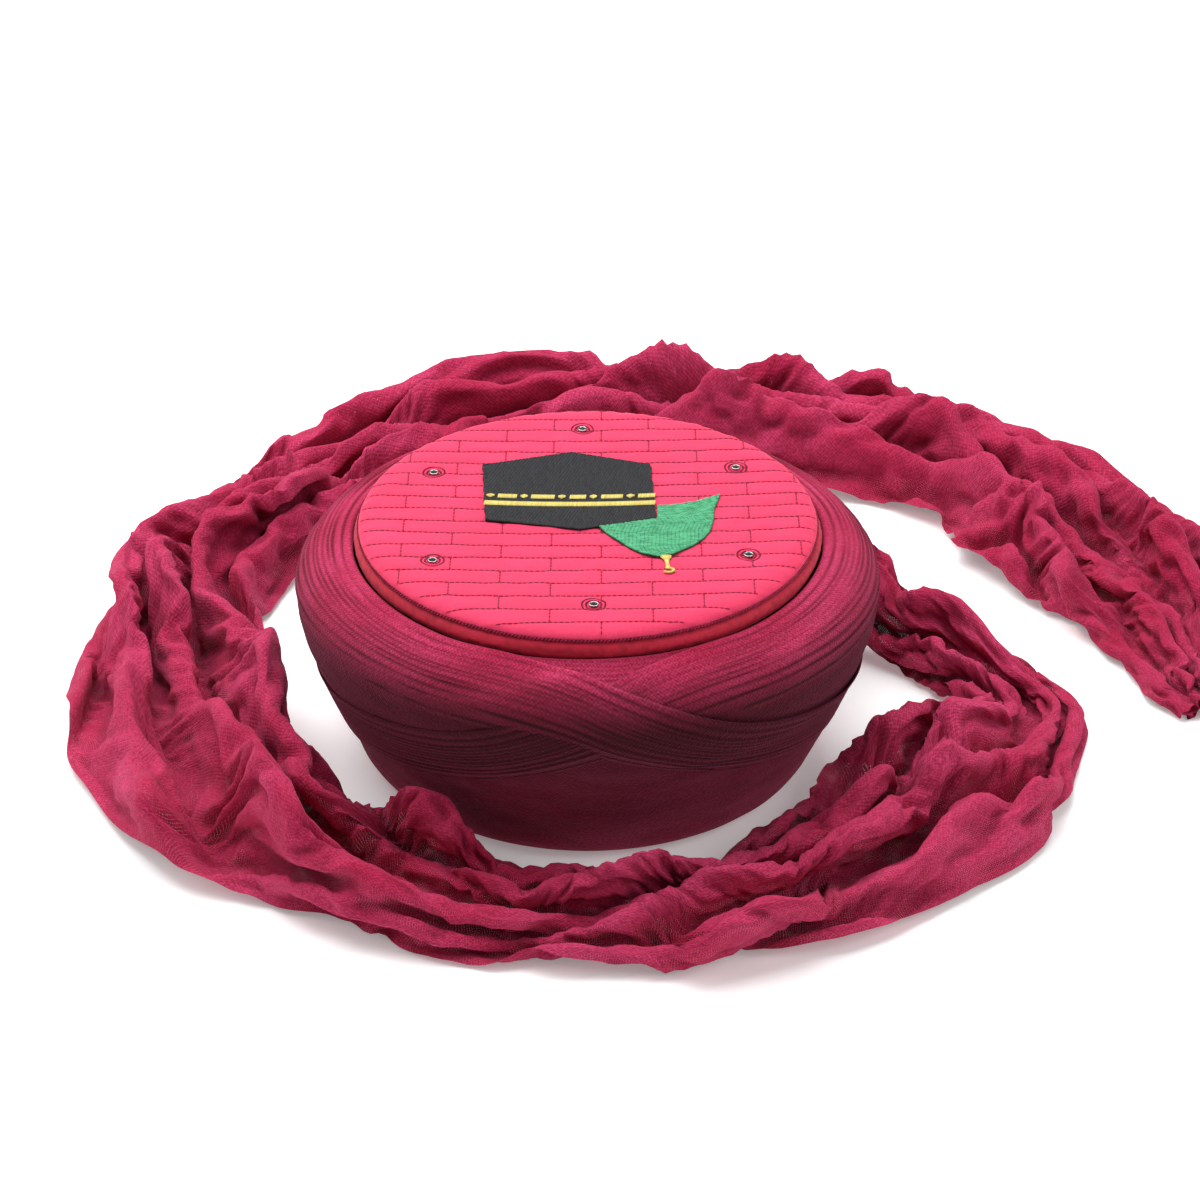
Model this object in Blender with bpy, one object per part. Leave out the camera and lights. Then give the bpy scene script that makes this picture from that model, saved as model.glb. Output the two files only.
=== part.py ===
"""A ready-wound turban: a stiff round cap with a quilted crown, wound with a long muslin cloth.

The origin is the centre of the cap's opening, on the plane that the hat rests on. +Z is up, the front of the
hat faces -Y, and the free end of the cloth leaves the winding at the right rear and lies around the hat.
"""
import math

import bmesh
import bpy
import numpy as np

# Cap: all lengths are in metres.
HEAD_RADIUS = 0.0907
CAP_HEIGHT = 0.1155
CAP_WALL = 0.0025
CAP_FLARE = 0.0016
CLEARANCE = 0.0003

# Crown panel, whose rolled rim stands back from the outside of the piping
CROWN_INSET = 0.0022
CROWN_THICKNESS = 0.0045
CROWN_ROLL = 0.0050
CROWN_ROLL_DROP = 0.0036
CROWN_UNDERCUT = 0.0010

# Piping between the crown panel and the winding
PIPING_WIDTH = 0.0086
PIPING_HEIGHT = 0.0092

# Eyelets, on a hexagon around the crown's centre, at one distance from its rim
EYELET_COUNT = 6
EYELET_INSET = 0.0225
EYELET_TURN = math.radians(2.0)
EYELET_BORE = 0.0019
EYELET_TUBE = 0.0006
EYELET_FLANGE = 0.0009
EYELET_FLANGE_THICKNESS = 0.0005

# Embroidery on the crown: each motif has a width, a depth and a centre
THREAD_HEIGHT = 0.0009
CUBE_WIDTH = 0.0780
CUBE_DEPTH = 0.0711
CUBE_CENTRE = (-0.0088, 0.0192)
BELT_WIDTH = 0.0023
BELT_HEIGHT = 0.0005
BELT_OFFSET = -0.0132
MARKS_OFFSET = -0.0056
MARKS_LINE_WIDTH = 0.0010
LOZENGE_SIZE = 0.0034
DOME_WIDTH = 0.0530
DOME_DEPTH = 0.0552
DOME_CENTRE = (0.0328, -0.0124)
FINIAL_WIDTH = 0.0062
FINIAL_LENGTH = 0.0150
FINIAL_CENTRE = (0.0346, -0.0482)

# Winding
WINDING_DEPTH = 0.0358
WINDING_LIP_DROP = 0.0018
WRAP_THICKNESS = 0.0032
WRAP_EDGE = 0.0014
WRAP_GAP = 0.0007
PLEAT_DEPTH = 0.0011
FOLD_DEPTH = 0.0009
SHOULDER_RADIUS = 0.0110

# Folds of the winding: the numbers of slanting folds around and up its flank, and shares of its profile
FOLDS_AROUND = 3.0
FOLDS_UP = 4.0
FOLDS_FROM = 0.06
FOLDS_TO = 0.66
FOLDS_FADE = 0.10
PROFILE_NUDGE = 0.004
WRAP_LAP = 0.16
WRAP_EDGE_SHARE = 0.20

# Free end of the cloth
LOOP_SPREAD = 0.1600
TAIL_SEAT = 0.0017
TAIL_WIDTH = 0.0900
TAIL_HEIGHT = 0.0280
TAIL_LIFT = 0.0600
TAIL_WALL = 0.0020
TAIL_RUFFLE = 0.0045
TAIL_CRUMPLE = 0.0017
TAIL_WANDER = 0.0045

# Waves of the free end, in turns across half its width and in turns from one section to the next
RUFFLE_ACROSS = 0.95
RUFFLE_DRIFT = 0.105
CRUMPLE_ACROSS = -0.80
CRUMPLE_DRIFT = 0.31
CRUMPLE_START = 0.20
WANDER_ACROSS = 0.33
WANDER_DRIFT = 0.23

# Facets
TURN_STEPS = 48
TAIL_STEPS_PER_ROW = 2
EYELET_SIDES = 8
PIPING_SIDES = 6
PLEATS = 5
BELT_POINTS = 9
ROLL_TURNS = (0, 42, 90)

# Profile of the wound body, from the foot to the lip beside the piping. Columns: height as a share of the
# lip's height, depth as a share of WINDING_DEPTH, and lean, the share of the step from the cap's wall out
# to the piping that is added to the radius.
WINDING_PROFILE = (
    (0.000, 0.050, 0.00),
    (0.055, 0.250, 0.02),
    (0.175, 0.410, 0.05),
    (0.330, 0.590, 0.10),
    (0.490, 0.750, 0.18),
    (0.635, 0.870, 0.30),
    (0.760, 0.900, 0.42),
    (0.850, 0.800, 0.56),
    (0.923, 0.570, 0.72),
    (0.972, 0.260, 0.90),
    (1.000, 0.015, 1.00),
)

# Shares of the profile's length at which the wound body has its rings, closer in the pleats under the lip.
BODY_RINGS = (0.0, 0.06, 0.16, 0.27, 0.38, 0.49, 0.60, 0.69, 0.77, 0.84, 0.87, 0.90, 0.93, 0.96, 0.98, 1.0)
BODY_PLEATS_FROM = 0.84
BODY_PLEAT_LENGTH = 0.06

# Upper and lower edge of the left wrap around the hat. Columns: bearing in degrees, top and bottom as shares
# of the profile's length.
WRAP_EDGES = (
    (-180, 1.000, 0.62),
    (-150, 1.000, 0.66),
    (-125, 0.995, 0.68),
    (-103, 0.985, 0.66),
    (-92, 0.935, 0.62),
    (-85, 0.880, 0.57),
    (-75, 0.800, 0.50),
    (-62, 0.705, 0.41),
    (-47, 0.630, 0.33),
    (-30, 0.570, 0.25),
    (-10, 0.500, 0.17),
    (15, 0.460, 0.13),
    (40, 0.500, 0.15),
    (62, 0.600, 0.23),
    (82, 0.760, 0.34),
    (98, 0.890, 0.44),
    (115, 0.980, 0.52),
    (145, 1.000, 0.59),
)
# The right wrap is the left one mirrored about this bearing.
FRONT_CROSSING = -86.0

# Course of the free end, seen from above. Columns: bearing in degrees, reach beyond the winding as a share of
# LOOP_SPREAD, lift as a share of TAIL_LIFT, width as a share of TAIL_WIDTH, height as a share of TAIL_HEIGHT,
# and roll in degrees.
TAIL_ROWS = (
    (62, 0.000, 1.05, 0.68, 0.26, -86),
    (47, -0.006, 0.98, 0.70, 0.32, -80),
    (33, 0.039, 0.82, 0.74, 0.45, -62),
    (21, 0.187, 0.46, 0.76, 0.75, -36),
    (12, 0.372, 0.12, 0.70, 1.10, -9),
    (4, 0.483, 0.00, 0.54, 1.30, 0),
    (-5, 0.439, 0.00, 0.70, 1.20, 0),
    (-15, 0.314, 0.00, 1.02, 1.00, 0),
    (-30, 0.208, 0.00, 1.18, 1.05, 0),
    (-47, 0.164, 0.00, 1.08, 0.85, 0),
    (-62, 0.152, 0.00, 0.93, 1.00, 0),
    (-78, 0.139, 0.00, 0.83, 1.10, 0),
    (-94, 0.148, 0.00, 0.76, 0.95, 0),
    (-110, 0.164, 0.00, 0.80, 1.05, 0),
    (-126, 0.183, 0.00, 0.93, 0.85, 0),
    (-140, 0.227, 0.00, 1.10, 1.10, 0),
    (-153, 0.264, 0.00, 1.28, 0.95, 0),
    (-166, 0.287, 0.00, 1.30, 1.20, 0),
    (-180, 0.333, 0.00, 1.20, 1.00, 0),
    (-193, 0.402, 0.00, 1.10, 1.25, 0),
    (-205, 0.521, 0.00, 1.02, 1.05, 0),
    (-217, 0.614, 0.00, 0.96, 1.20, 0),
    (-230, 0.671, 0.00, 0.94, 0.95, 0),
    (-243, 0.758, 0.00, 0.94, 1.15, 0),
    (-256, 0.871, 0.00, 0.97, 1.05, 0),
    (-270, 0.958, 0.00, 1.00, 1.25, 0),
    (-284, 0.996, 0.00, 1.02, 1.05, 0),
    (-298, 1.014, 0.00, 1.02, 1.15, 0),
    (-311, 1.046, 0.00, 1.03, 0.95, 0),
    (-323, 1.033, 0.00, 1.03, 1.10, 0),
    (-334, 0.996, 0.00, 0.94, 0.90, 0),
    (-344, 0.952, 0.00, 0.66, 0.85, 0),
    (-352, 0.939, 0.00, 0.40, 0.60, 0),
    (-359, 0.964, 0.00, 0.20, 0.42, 0),
)

# Section across the free end: a flattened bundle whose two edges are tucked under it. Columns: across as a
# share of half the width, height as a share of the height, and how much of the ruffle the point takes.
TAIL_SECTION = (
    (-0.50, 0.00, 0.0),
    (-0.88, 0.00, 0.0),
    (-1.00, 0.24, 0.1),
    (-0.84, 0.62, 0.6),
    (-0.58, 0.84, 1.0),
    (-0.30, 0.96, 1.0),
    (-0.04, 1.00, 1.0),
    (0.22, 0.98, 1.0),
    (0.50, 0.88, 1.0),
    (0.80, 0.64, 0.6),
    (1.00, 0.24, 0.1),
    (0.88, 0.00, 0.0),
    (0.50, 0.00, 0.0),
)

# Outlines of the motifs, as shares of half their width and half their depth.
CUBE_OUTLINE = ((-1.00, 0.66), (0.03, 1.00), (0.95, 0.67), (1.00, -0.73), (0.14, -1.00), (-0.93, -0.76))
CUBE_FRONT_LEFT = -0.94
CUBE_FRONT_RIGHT = 0.98
BELT_SAG = 0.0016
LOZENGE_PLACES = (-0.86, -0.49, -0.06, 0.30, 0.70)
DOME_OUTLINE = (
    (-0.72, -0.52),
    (-0.36, -0.90),
    (-0.09, -1.00),
    (0.16, -0.93),
    (0.50, -0.66),
    (0.80, -0.18),
    (0.86, 0.20),
    (0.88, 0.52),
    (1.00, 1.00),
    (0.56, 0.75),
    (0.20, 0.65),
)
# Where the dome meets the cube, as shares of the two edges that leave the cube's near right corner.
CUBE_CORNER = 3
DOME_ON_FAR_EDGE = 0.24
DOME_ON_NEAR_EDGE = 0.64
FINIAL_OUTLINE = (
    (-1.00, 1.00),
    (1.00, 1.00),
    (0.30, 0.55),
    (0.30, -0.20),
    (1.00, -0.52),
    (0.86, -1.00),
    (-0.60, -1.00),
    (-0.95, -0.72),
    (-0.30, -0.30),
    (-0.30, 0.55),
)

# Worked out from the sizes above
CAP_OUTER = HEAD_RADIUS + CAP_WALL
CAP_OUTER_TOP = CAP_OUTER + CAP_FLARE
CROWN_UNDERSIDE = CAP_HEIGHT - CROWN_THICKNESS
SIDE_TOP = CROWN_UNDERSIDE - CLEARANCE
PIPING_RADIUS = CAP_OUTER_TOP + CLEARANCE + PIPING_WIDTH / 2
PIPING_OUTER = PIPING_RADIUS + PIPING_WIDTH / 2
CROWN_RADIUS = PIPING_OUTER - CROWN_INSET
EYELET_RING_RADIUS = CROWN_RADIUS - EYELET_INSET
PIPING_LEVEL = SIDE_TOP - PIPING_HEIGHT / 2
LEDGE_LEVEL = PIPING_LEVEL - PIPING_HEIGHT / 2 - CLEARANCE
LIP_LEVEL = PIPING_LEVEL - WINDING_LIP_DROP

COLOURS = {
    "crown_cloth": ((0.87, 0.06, 0.17, 1.0), 0.85, 0.0),
    "cap_cloth": ((0.45, 0.02, 0.05, 1.0), 0.90, 0.0),
    "piping_cloth": ((0.60, 0.02, 0.03, 1.0), 0.75, 0.0),
    "eyelet_metal": ((0.72, 0.72, 0.74, 1.0), 0.25, 1.0),
    "black_thread": ((0.035, 0.035, 0.040, 1.0), 0.80, 0.0),
    "gold_thread": ((0.78, 0.60, 0.14, 1.0), 0.50, 0.2),
    "green_thread": ((0.02, 0.30, 0.11, 1.0), 0.60, 0.0),
    "muslin": ((0.33, 0.02, 0.08, 1.0), 0.90, 0.0),
}


def material(name):
    """Make, or find, the plain shader of one material."""
    found = bpy.data.materials.get(name)
    if found:
        return found
    colour, roughness, metallic = COLOURS[name]
    made = bpy.data.materials.new(name)
    made.use_nodes = True
    made.diffuse_color = colour
    shader = made.node_tree.nodes["Principled BSDF"]
    shader.inputs["Base Color"].default_value = colour
    shader.inputs["Roughness"].default_value = roughness
    shader.inputs["Metallic"].default_value = metallic
    return made


def add_object(name, points, faces, material_name, crease=math.radians(40)):
    """Put a closed mesh into the scene, with its faces pointing out."""
    mesh = bpy.data.meshes.new(name)
    mesh.from_pydata([tuple(point) for point in points], [], faces)
    body = bmesh.new()
    body.from_mesh(mesh)
    bmesh.ops.recalc_face_normals(body, faces=body.faces)
    body.to_mesh(mesh)
    body.free()
    mesh.shade_smooth()
    mesh.set_sharp_from_angle(angle=crease)
    made = bpy.data.objects.new(name, mesh)
    bpy.context.scene.collection.objects.link(made)
    made.data.materials.append(material(material_name))
    return made


def grid_faces(rows, columns, first_row_after_last):
    """Quads between the rows of a grid whose columns close on themselves."""
    faces = []
    for row in range(rows if first_row_after_last else rows - 1):
        next_row = (row + 1) % rows
        for column in range(columns):
            next_column = (column + 1) % columns
            faces.append((row * columns + column, row * columns + next_column,
                          next_row * columns + next_column, next_row * columns + column))
    return faces


def smooth_curve(keys, values, at):
    """Read a cubic curve with Catmull-Rom slopes through the rows (keys rise, values may have columns)."""
    keys = np.asarray(keys, float)
    values = np.asarray(values, float)
    at = np.clip(at, keys[0], keys[-1])
    slopes = np.gradient(values, keys, axis=0)
    cell = np.clip(np.searchsorted(keys, at, side="right") - 1, 0, len(keys) - 2)
    span = keys[cell + 1] - keys[cell]
    t = (at - keys[cell]) / span
    if values.ndim > 1:
        t = t[..., None]
        span = span[..., None]
    start = (2 * t ** 3 - 3 * t ** 2 + 1) * values[cell] + (t ** 3 - 2 * t ** 2 + t) * span * slopes[cell]
    end = (3 * t ** 2 - 2 * t ** 3) * values[cell + 1] + (t ** 3 - t ** 2) * span * slopes[cell + 1]
    return start + end


def smooth_step(value):
    """0 below 0, 1 above 1 and a smooth rise between them."""
    value = np.clip(value, 0.0, 1.0)
    return value * value * (3 - 2 * value)


def turn_angles():
    """The bearings around the hat that every ring shares, so that nested rings keep their gaps."""
    return np.arange(TURN_STEPS) * 2 * math.pi / TURN_STEPS


def turned_section(section):
    """Points of a section (radius, level) carried around the hat: one row of points for each bearing."""
    angles = turn_angles()[:, None]
    radius = section[:, 0][None, :]
    level = section[:, 1][None, :] + 0 * angles
    return np.stack([radius * np.cos(angles), radius * np.sin(angles), level], axis=-1)


def add_ring(name, points, material_name, crease=math.radians(40)):
    """Close rows of section points, one for each bearing, into a ring."""
    rows, columns = points.shape[:2]
    return add_object(name, points.reshape(-1, 3), grid_faces(rows, columns, True), material_name, crease)


def crown_section():
    """Half section of the crown panel from its top centre to its under centre, with a rolled edge."""
    angles = np.radians(ROLL_TURNS)
    radius = CROWN_RADIUS - CROWN_ROLL + CROWN_ROLL * np.sin(angles)
    level = CAP_HEIGHT - CROWN_ROLL_DROP * (1 - np.cos(angles))
    roll = np.stack([radius, level], axis=-1)
    inner = [(CROWN_RADIUS / 2, CAP_HEIGHT)]
    under = [(CROWN_RADIUS - CROWN_UNDERCUT, CROWN_UNDERSIDE)]
    return np.concatenate([inner, roll, under])


def add_crown_top():
    """The padded panel, closed at its centre above and below, and bored for the eyelets."""
    section = crown_section()
    columns = len(section)
    points = turned_section(section).reshape(-1, 3)
    faces = []
    for row in range(TURN_STEPS):
        next_row = (row + 1) % TURN_STEPS
        for column in range(columns - 1):
            faces.append((row * columns + column, row * columns + column + 1,
                          next_row * columns + column + 1, next_row * columns + column))
    faces.append([row * columns for row in range(TURN_STEPS)])
    faces.append([row * columns + columns - 1 for row in range(TURN_STEPS)])
    crown = add_object("crown_top", points, faces, "crown_cloth")
    for place in eyelet_places():
        cutter = add_cylinder("eyelet_cutter", place, EYELET_BORE + EYELET_TUBE + CLEARANCE)
        cut = crown.modifiers.new("eyelet_hole", "BOOLEAN")
        cut.operation = "DIFFERENCE"
        cut.solver = "EXACT"
        cut.object = cutter
    return crown


def add_cylinder(name, place, radius):
    """A guide that bores through the crown panel."""
    body = bmesh.new()
    bmesh.ops.create_cone(body, cap_ends=True, segments=EYELET_SIDES, radius1=radius, radius2=radius,
                          depth=CROWN_THICKNESS * 4)
    mesh = bpy.data.meshes.new(name)
    body.to_mesh(mesh)
    body.free()
    guide = bpy.data.objects.new(name, mesh)
    guide.location = (place[0], place[1], CAP_HEIGHT)
    guide.hide_render = True
    guide.display_type = "WIRE"
    bpy.context.scene.collection.objects.link(guide)
    return guide


def add_crown_side():
    """The cap's wall, which flares a little to the top and is open below."""
    section = np.array([
        (HEAD_RADIUS, 0.0),
        (CAP_OUTER, 0.0),
        (CAP_OUTER_TOP, SIDE_TOP),
        (CAP_OUTER_TOP - CAP_WALL, SIDE_TOP),
    ])
    return add_ring("crown_side", turned_section(section), "cap_cloth")


def add_crown_piping():
    """The rolled band that covers the seam between the crown and the wall."""
    angles = np.arange(PIPING_SIDES) * 2 * math.pi / PIPING_SIDES
    section = np.stack([PIPING_RADIUS + PIPING_WIDTH / 2 * np.cos(angles),
                        PIPING_LEVEL + PIPING_HEIGHT / 2 * np.sin(angles)], axis=-1)
    return add_ring("crown_piping", turned_section(section), "piping_cloth", math.radians(80))


def eyelet_places():
    """Centres of the eyelets, on a hexagon that is turned a little."""
    angles = [math.pi / 2 + EYELET_TURN + index * 2 * math.pi / EYELET_COUNT for index in range(EYELET_COUNT)]
    return [(EYELET_RING_RADIUS * math.cos(angle), EYELET_RING_RADIUS * math.sin(angle)) for angle in angles]


def add_eyelet(number, place):
    """A short metal tube through the crown with a flange above it."""
    outer = EYELET_BORE + EYELET_TUBE
    flange_low = CAP_HEIGHT + CLEARANCE
    flange_high = flange_low + EYELET_FLANGE_THICKNESS
    section = [
        (EYELET_BORE, flange_high),
        (outer + EYELET_FLANGE, flange_high),
        (outer + EYELET_FLANGE, flange_low),
        (outer, flange_low),
        (outer, CROWN_UNDERSIDE),
        (EYELET_BORE, CROWN_UNDERSIDE),
    ]
    points = []
    for side in range(EYELET_SIDES):
        angle = side * 2 * math.pi / EYELET_SIDES
        for radius, level in section:
            points.append((place[0] + radius * math.cos(angle), place[1] + radius * math.sin(angle), level))
    faces = grid_faces(EYELET_SIDES, len(section), True)
    return add_object("eyelet_%d" % number, points, faces, "eyelet_metal")


def add_plate(name, outline, low, thickness, material_name):
    """A flat motif: its outline raised between two levels."""
    count = len(outline)
    points = [(x, y, low) for x, y in outline] + [(x, y, low + thickness) for x, y in outline]
    faces = [list(range(count)), list(range(count, 2 * count))]
    for index in range(count):
        after = (index + 1) % count
        faces.append((index, after, count + after, count + index))
    return add_object(name, points, faces, material_name)


def placed_outline(shares, centre, width, depth):
    """An outline in metres from shares of half its width and half its depth."""
    return [(centre[0] + across * width / 2, centre[1] + along * depth / 2) for across, along in shares]


def belt_edge(offset):
    """Points of a line across the cube that hangs a little in its middle."""
    middle = (CUBE_FRONT_LEFT + CUBE_FRONT_RIGHT) / 2
    reach = CUBE_FRONT_RIGHT - middle
    line = []
    for place in np.linspace(CUBE_FRONT_LEFT, CUBE_FRONT_RIGHT, BELT_POINTS):
        drop = BELT_SAG * (1 - ((place - middle) / reach) ** 2)
        line.append((CUBE_CENTRE[0] + place * CUBE_WIDTH / 2, CUBE_CENTRE[1] + offset - drop))
    return line


def add_embroidery():
    """The raised motifs: a draped black cube with two gold bands, and a green dome with its finial."""
    low = CAP_HEIGHT + CLEARANCE
    top = low + THREAD_HEIGHT
    cube = placed_outline(CUBE_OUTLINE, CUBE_CENTRE, CUBE_WIDTH, CUBE_DEPTH)
    add_plate("embroidery_cube", cube, low, THREAD_HEIGHT, "black_thread")
    under = belt_edge(BELT_OFFSET - BELT_WIDTH / 2)
    over = belt_edge(BELT_OFFSET + BELT_WIDTH / 2)
    add_plate("embroidery_belt", under + over[::-1], top + CLEARANCE, BELT_HEIGHT, "gold_thread")
    add_plate("embroidery_marks", marks_outline(), top + CLEARANCE, BELT_HEIGHT, "gold_thread")
    dome = placed_outline(DOME_OUTLINE, DOME_CENTRE, DOME_WIDTH, DOME_DEPTH) + beside_cube(cube)
    add_plate("embroidery_dome", dome, low, THREAD_HEIGHT, "green_thread")
    finial = placed_outline(FINIAL_OUTLINE, FINIAL_CENTRE, FINIAL_WIDTH, FINIAL_LENGTH)
    add_plate("embroidery_finial", finial, low, THREAD_HEIGHT, "gold_thread")


def beside_cube(cube):
    """The dome's edge along the cube: up its right edge, its corner and its lower edge, a clearance away."""
    corner = np.array(cube[CUBE_CORNER])
    up = np.array(cube[CUBE_CORNER - 1]) - corner
    down = np.array(cube[CUBE_CORNER + 1]) - corner
    beside = np.array([up[1], -up[0]]) / np.linalg.norm(up) * CLEARANCE
    below = np.array([-down[1], down[0]]) / np.linalg.norm(down) * CLEARANCE
    on_far = corner + up * DOME_ON_FAR_EDGE + beside
    on_near = corner + down * DOME_ON_NEAR_EDGE + below
    return [tuple(on_far), tuple(corner + beside + below), tuple(on_near)]


def marks_outline():
    """A thin line across the cube that widens into a row of lozenges."""
    half = CUBE_WIDTH / 2
    level = CUBE_CENTRE[1] + MARKS_OFFSET
    reach = LOZENGE_SIZE / 2 / half
    lower = [(CUBE_FRONT_LEFT, -MARKS_LINE_WIDTH / 2)]
    for place in LOZENGE_PLACES:
        lower += [(place - reach, -MARKS_LINE_WIDTH / 2), (place, -LOZENGE_SIZE / 2),
                  (place + reach, -MARKS_LINE_WIDTH / 2)]
    lower.append((CUBE_FRONT_RIGHT, -MARKS_LINE_WIDTH / 2))
    upper = [(place, -across) for place, across in reversed(lower)]
    return [(CUBE_CENTRE[0] + place * half, level + across) for place, across in lower + upper]


def profile_curve():
    """The wound body's profile: shares of its length at the table's rows, their points, and the length."""
    rows = np.array(WINDING_PROFILE)
    level = rows[:, 0] * LIP_LEVEL
    lean = rows[:, 2] * (PIPING_OUTER - CAP_OUTER)
    radius = CAP_OUTER + CLEARANCE + rows[:, 1] * WINDING_DEPTH + lean
    knots = np.stack([radius, level], axis=-1)
    steps = np.hypot(*np.diff(knots, axis=0).T)
    shares = np.concatenate([[0.0], np.cumsum(steps)]) / steps.sum()
    return shares, knots, steps.sum()


PROFILE_SHARES, PROFILE_KNOTS, PROFILE_LENGTH = profile_curve()


def profile_at(share, offset):
    """Points (radius, level) at a share of the profile's length, moved out by offset along the normal."""
    point = smooth_curve(PROFILE_SHARES, PROFILE_KNOTS, share)
    before = smooth_curve(PROFILE_SHARES, PROFILE_KNOTS, share - PROFILE_NUDGE)
    after = smooth_curve(PROFILE_SHARES, PROFILE_KNOTS, share + PROFILE_NUDGE)
    along = after - before
    along = along / np.linalg.norm(along, axis=-1, keepdims=True)
    normal = np.stack([along[..., 1], -along[..., 0]], axis=-1)
    return point + normal * np.asarray(offset)[..., None]


def wrap_edges(bearing, mirrored):
    """Upper and lower edge of a wrap, as shares of the profile's length, at bearings in degrees."""
    rows = np.array(WRAP_EDGES, float)
    turned = 2 * FRONT_CROSSING - bearing if mirrored else bearing
    turned = (turned + 180) % 360 - 180
    keys = np.concatenate([rows[-3:, 0] - 360, rows[:, 0], rows[:3, 0] + 360])
    values = np.concatenate([rows[-3:, 1:], rows[:, 1:], rows[:3, 1:]])
    read = smooth_curve(keys, values, turned)
    return np.minimum(read[..., 0], 1.0), read[..., 1]


def wrap_cover(bearing, share, mirrored, margin):
    """1 where a wrap, widened by margin, covers the body, falling to 0 over the same width beyond it."""
    top, bottom = wrap_edges(bearing, mirrored)
    above = smooth_step((share - (bottom - 2 * margin)) / margin)
    below = smooth_step(((top + 2 * margin) - share) / margin)
    return above * below


def surface_points(bearing_degrees, share, offset):
    """Points of a surface around the hat, from bearings, shares of the profile and offsets."""
    section = profile_at(share, offset)
    radius, level = section[..., 0], section[..., 1]
    angle = np.radians(bearing_degrees)
    return np.stack([radius * np.cos(angle), radius * np.sin(angle), level], axis=-1)


def add_winding_base():
    """The wound body: a thick ring whose lip has level pleats and whose flank has shallow slanting folds."""
    bearing = np.degrees(turn_angles())[:, None]
    share = np.array(BODY_RINGS)[None, :] + 0 * bearing
    wave = 0.5 - 0.5 * np.cos(2 * math.pi * (share - BODY_PLEATS_FROM) / BODY_PLEAT_LENGTH)
    pleat = np.where((share > BODY_PLEATS_FROM) & (share < 1.0), wave, 0.0)
    slant = 0.5 + 0.5 * np.cos(2 * math.pi * (FOLDS_UP * share + FOLDS_AROUND * bearing / 360))
    flank = smooth_step((share - FOLDS_FROM) / FOLDS_FADE) * smooth_step((FOLDS_TO - share) / FOLDS_FADE)
    offset = -PLEAT_DEPTH * pleat - FOLD_DEPTH * slant * flank
    outer = surface_points(bearing, share, offset)
    lip_inner = PIPING_OUTER + CLEARANCE
    inner_section = np.array([
        (lip_inner, LEDGE_LEVEL),
        (CAP_OUTER_TOP + CLEARANCE, LEDGE_LEVEL),
        (CAP_OUTER + CLEARANCE, 0.0),
    ])
    inner = turned_section(inner_section)
    return add_ring("winding_base", np.concatenate([outer, inner], axis=1), "muslin", math.radians(70))


def add_wrap(name, mirrored, over_other):
    """One outer wrap: a pleated band around the hat, thinner at its edges, that lies on what is under it."""
    bearing = np.degrees(turn_angles())[:, None]
    top, bottom = wrap_edges(bearing, mirrored)
    across = np.linspace(0.0, 1.0, 2 * PLEATS + 1)[None, :]
    share = bottom + (top - bottom) * across
    slant = (np.roll(share, -1, axis=0) - np.roll(share, 1, axis=0)) / 2 * PROFILE_LENGTH
    bridge = slant ** 2 / (8 * SHOULDER_RADIUS)
    inner_offset = WRAP_GAP + bridge
    if over_other:
        lift = wrap_cover(bearing, share, not mirrored, WRAP_LAP / 2)
        inner_offset = inner_offset + lift * (WRAP_THICKNESS + WRAP_GAP + bridge.max())
    edge = smooth_step(np.minimum(across, 1 - across) / WRAP_EDGE_SHARE)
    body = WRAP_EDGE + (WRAP_THICKNESS - WRAP_EDGE) * edge
    groove = 0.5 + 0.5 * np.cos(2 * math.pi * across * PLEATS)
    shown = 1.0 if over_other else 1.0 - wrap_cover(bearing, share, not mirrored, WRAP_LAP / 4)
    outer = surface_points(bearing, share, inner_offset + body - PLEAT_DEPTH * groove * edge * shown)
    inner = surface_points(bearing, share, inner_offset)[:, ::-1]
    return add_ring(name, np.concatenate([outer, inner], axis=1), "muslin", math.radians(75))


def winding_reach():
    """Radius of the winding at its widest, over one outer wrap."""
    return PROFILE_KNOTS[:, 0].max() + WRAP_GAP + WRAP_THICKNESS


def tail_course():
    """Centre, outward direction, upward direction and size of each section of the free end."""
    rows = np.array(TAIL_ROWS, float)
    count = (len(rows) - 1) * TAIL_STEPS_PER_ROW + 1
    at = np.linspace(0, len(rows) - 1, count)
    bearing, reach, lift, width, height, roll = smooth_curve(np.arange(len(rows)), rows, at).T
    angle = np.radians(bearing)
    turn = np.radians(roll)[:, None]
    standing = height * TAIL_HEIGHT * np.abs(np.sin(turn[:, 0]))
    radius = winding_reach() + TAIL_SEAT + reach * LOOP_SPREAD + standing
    level = np.maximum(lift, 0.0) * TAIL_LIFT
    centre = np.stack([radius * np.cos(angle), radius * np.sin(angle), level], axis=-1)
    along = np.gradient(centre, axis=0)
    along[:, 2] = 0.0
    along /= np.linalg.norm(along, axis=1, keepdims=True)
    outward = np.stack([-along[:, 1], along[:, 0], 0 * angle], axis=-1)
    upward = np.array([[0.0, 0.0, 1.0]]) + 0 * centre
    across_axis = outward * np.cos(turn) - upward * np.sin(turn)
    height_axis = outward * np.sin(turn) + upward * np.cos(turn)
    return centre, across_axis, height_axis, width * TAIL_WIDTH, height * TAIL_HEIGHT


def turn_wave(turns):
    """A wave between -1 and 1 from its phase in turns."""
    return np.sin(2 * math.pi * turns)


def tail_wall(line):
    """Both faces of a wall along each section's line, half the wall's thickness to either side of it."""
    along = np.gradient(line, axis=1)
    along /= np.linalg.norm(along, axis=2, keepdims=True)
    normal = np.stack([-along[..., 1], along[..., 0]], axis=-1)
    return line + normal * TAIL_WALL / 2, line - normal * TAIL_WALL / 2


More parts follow.
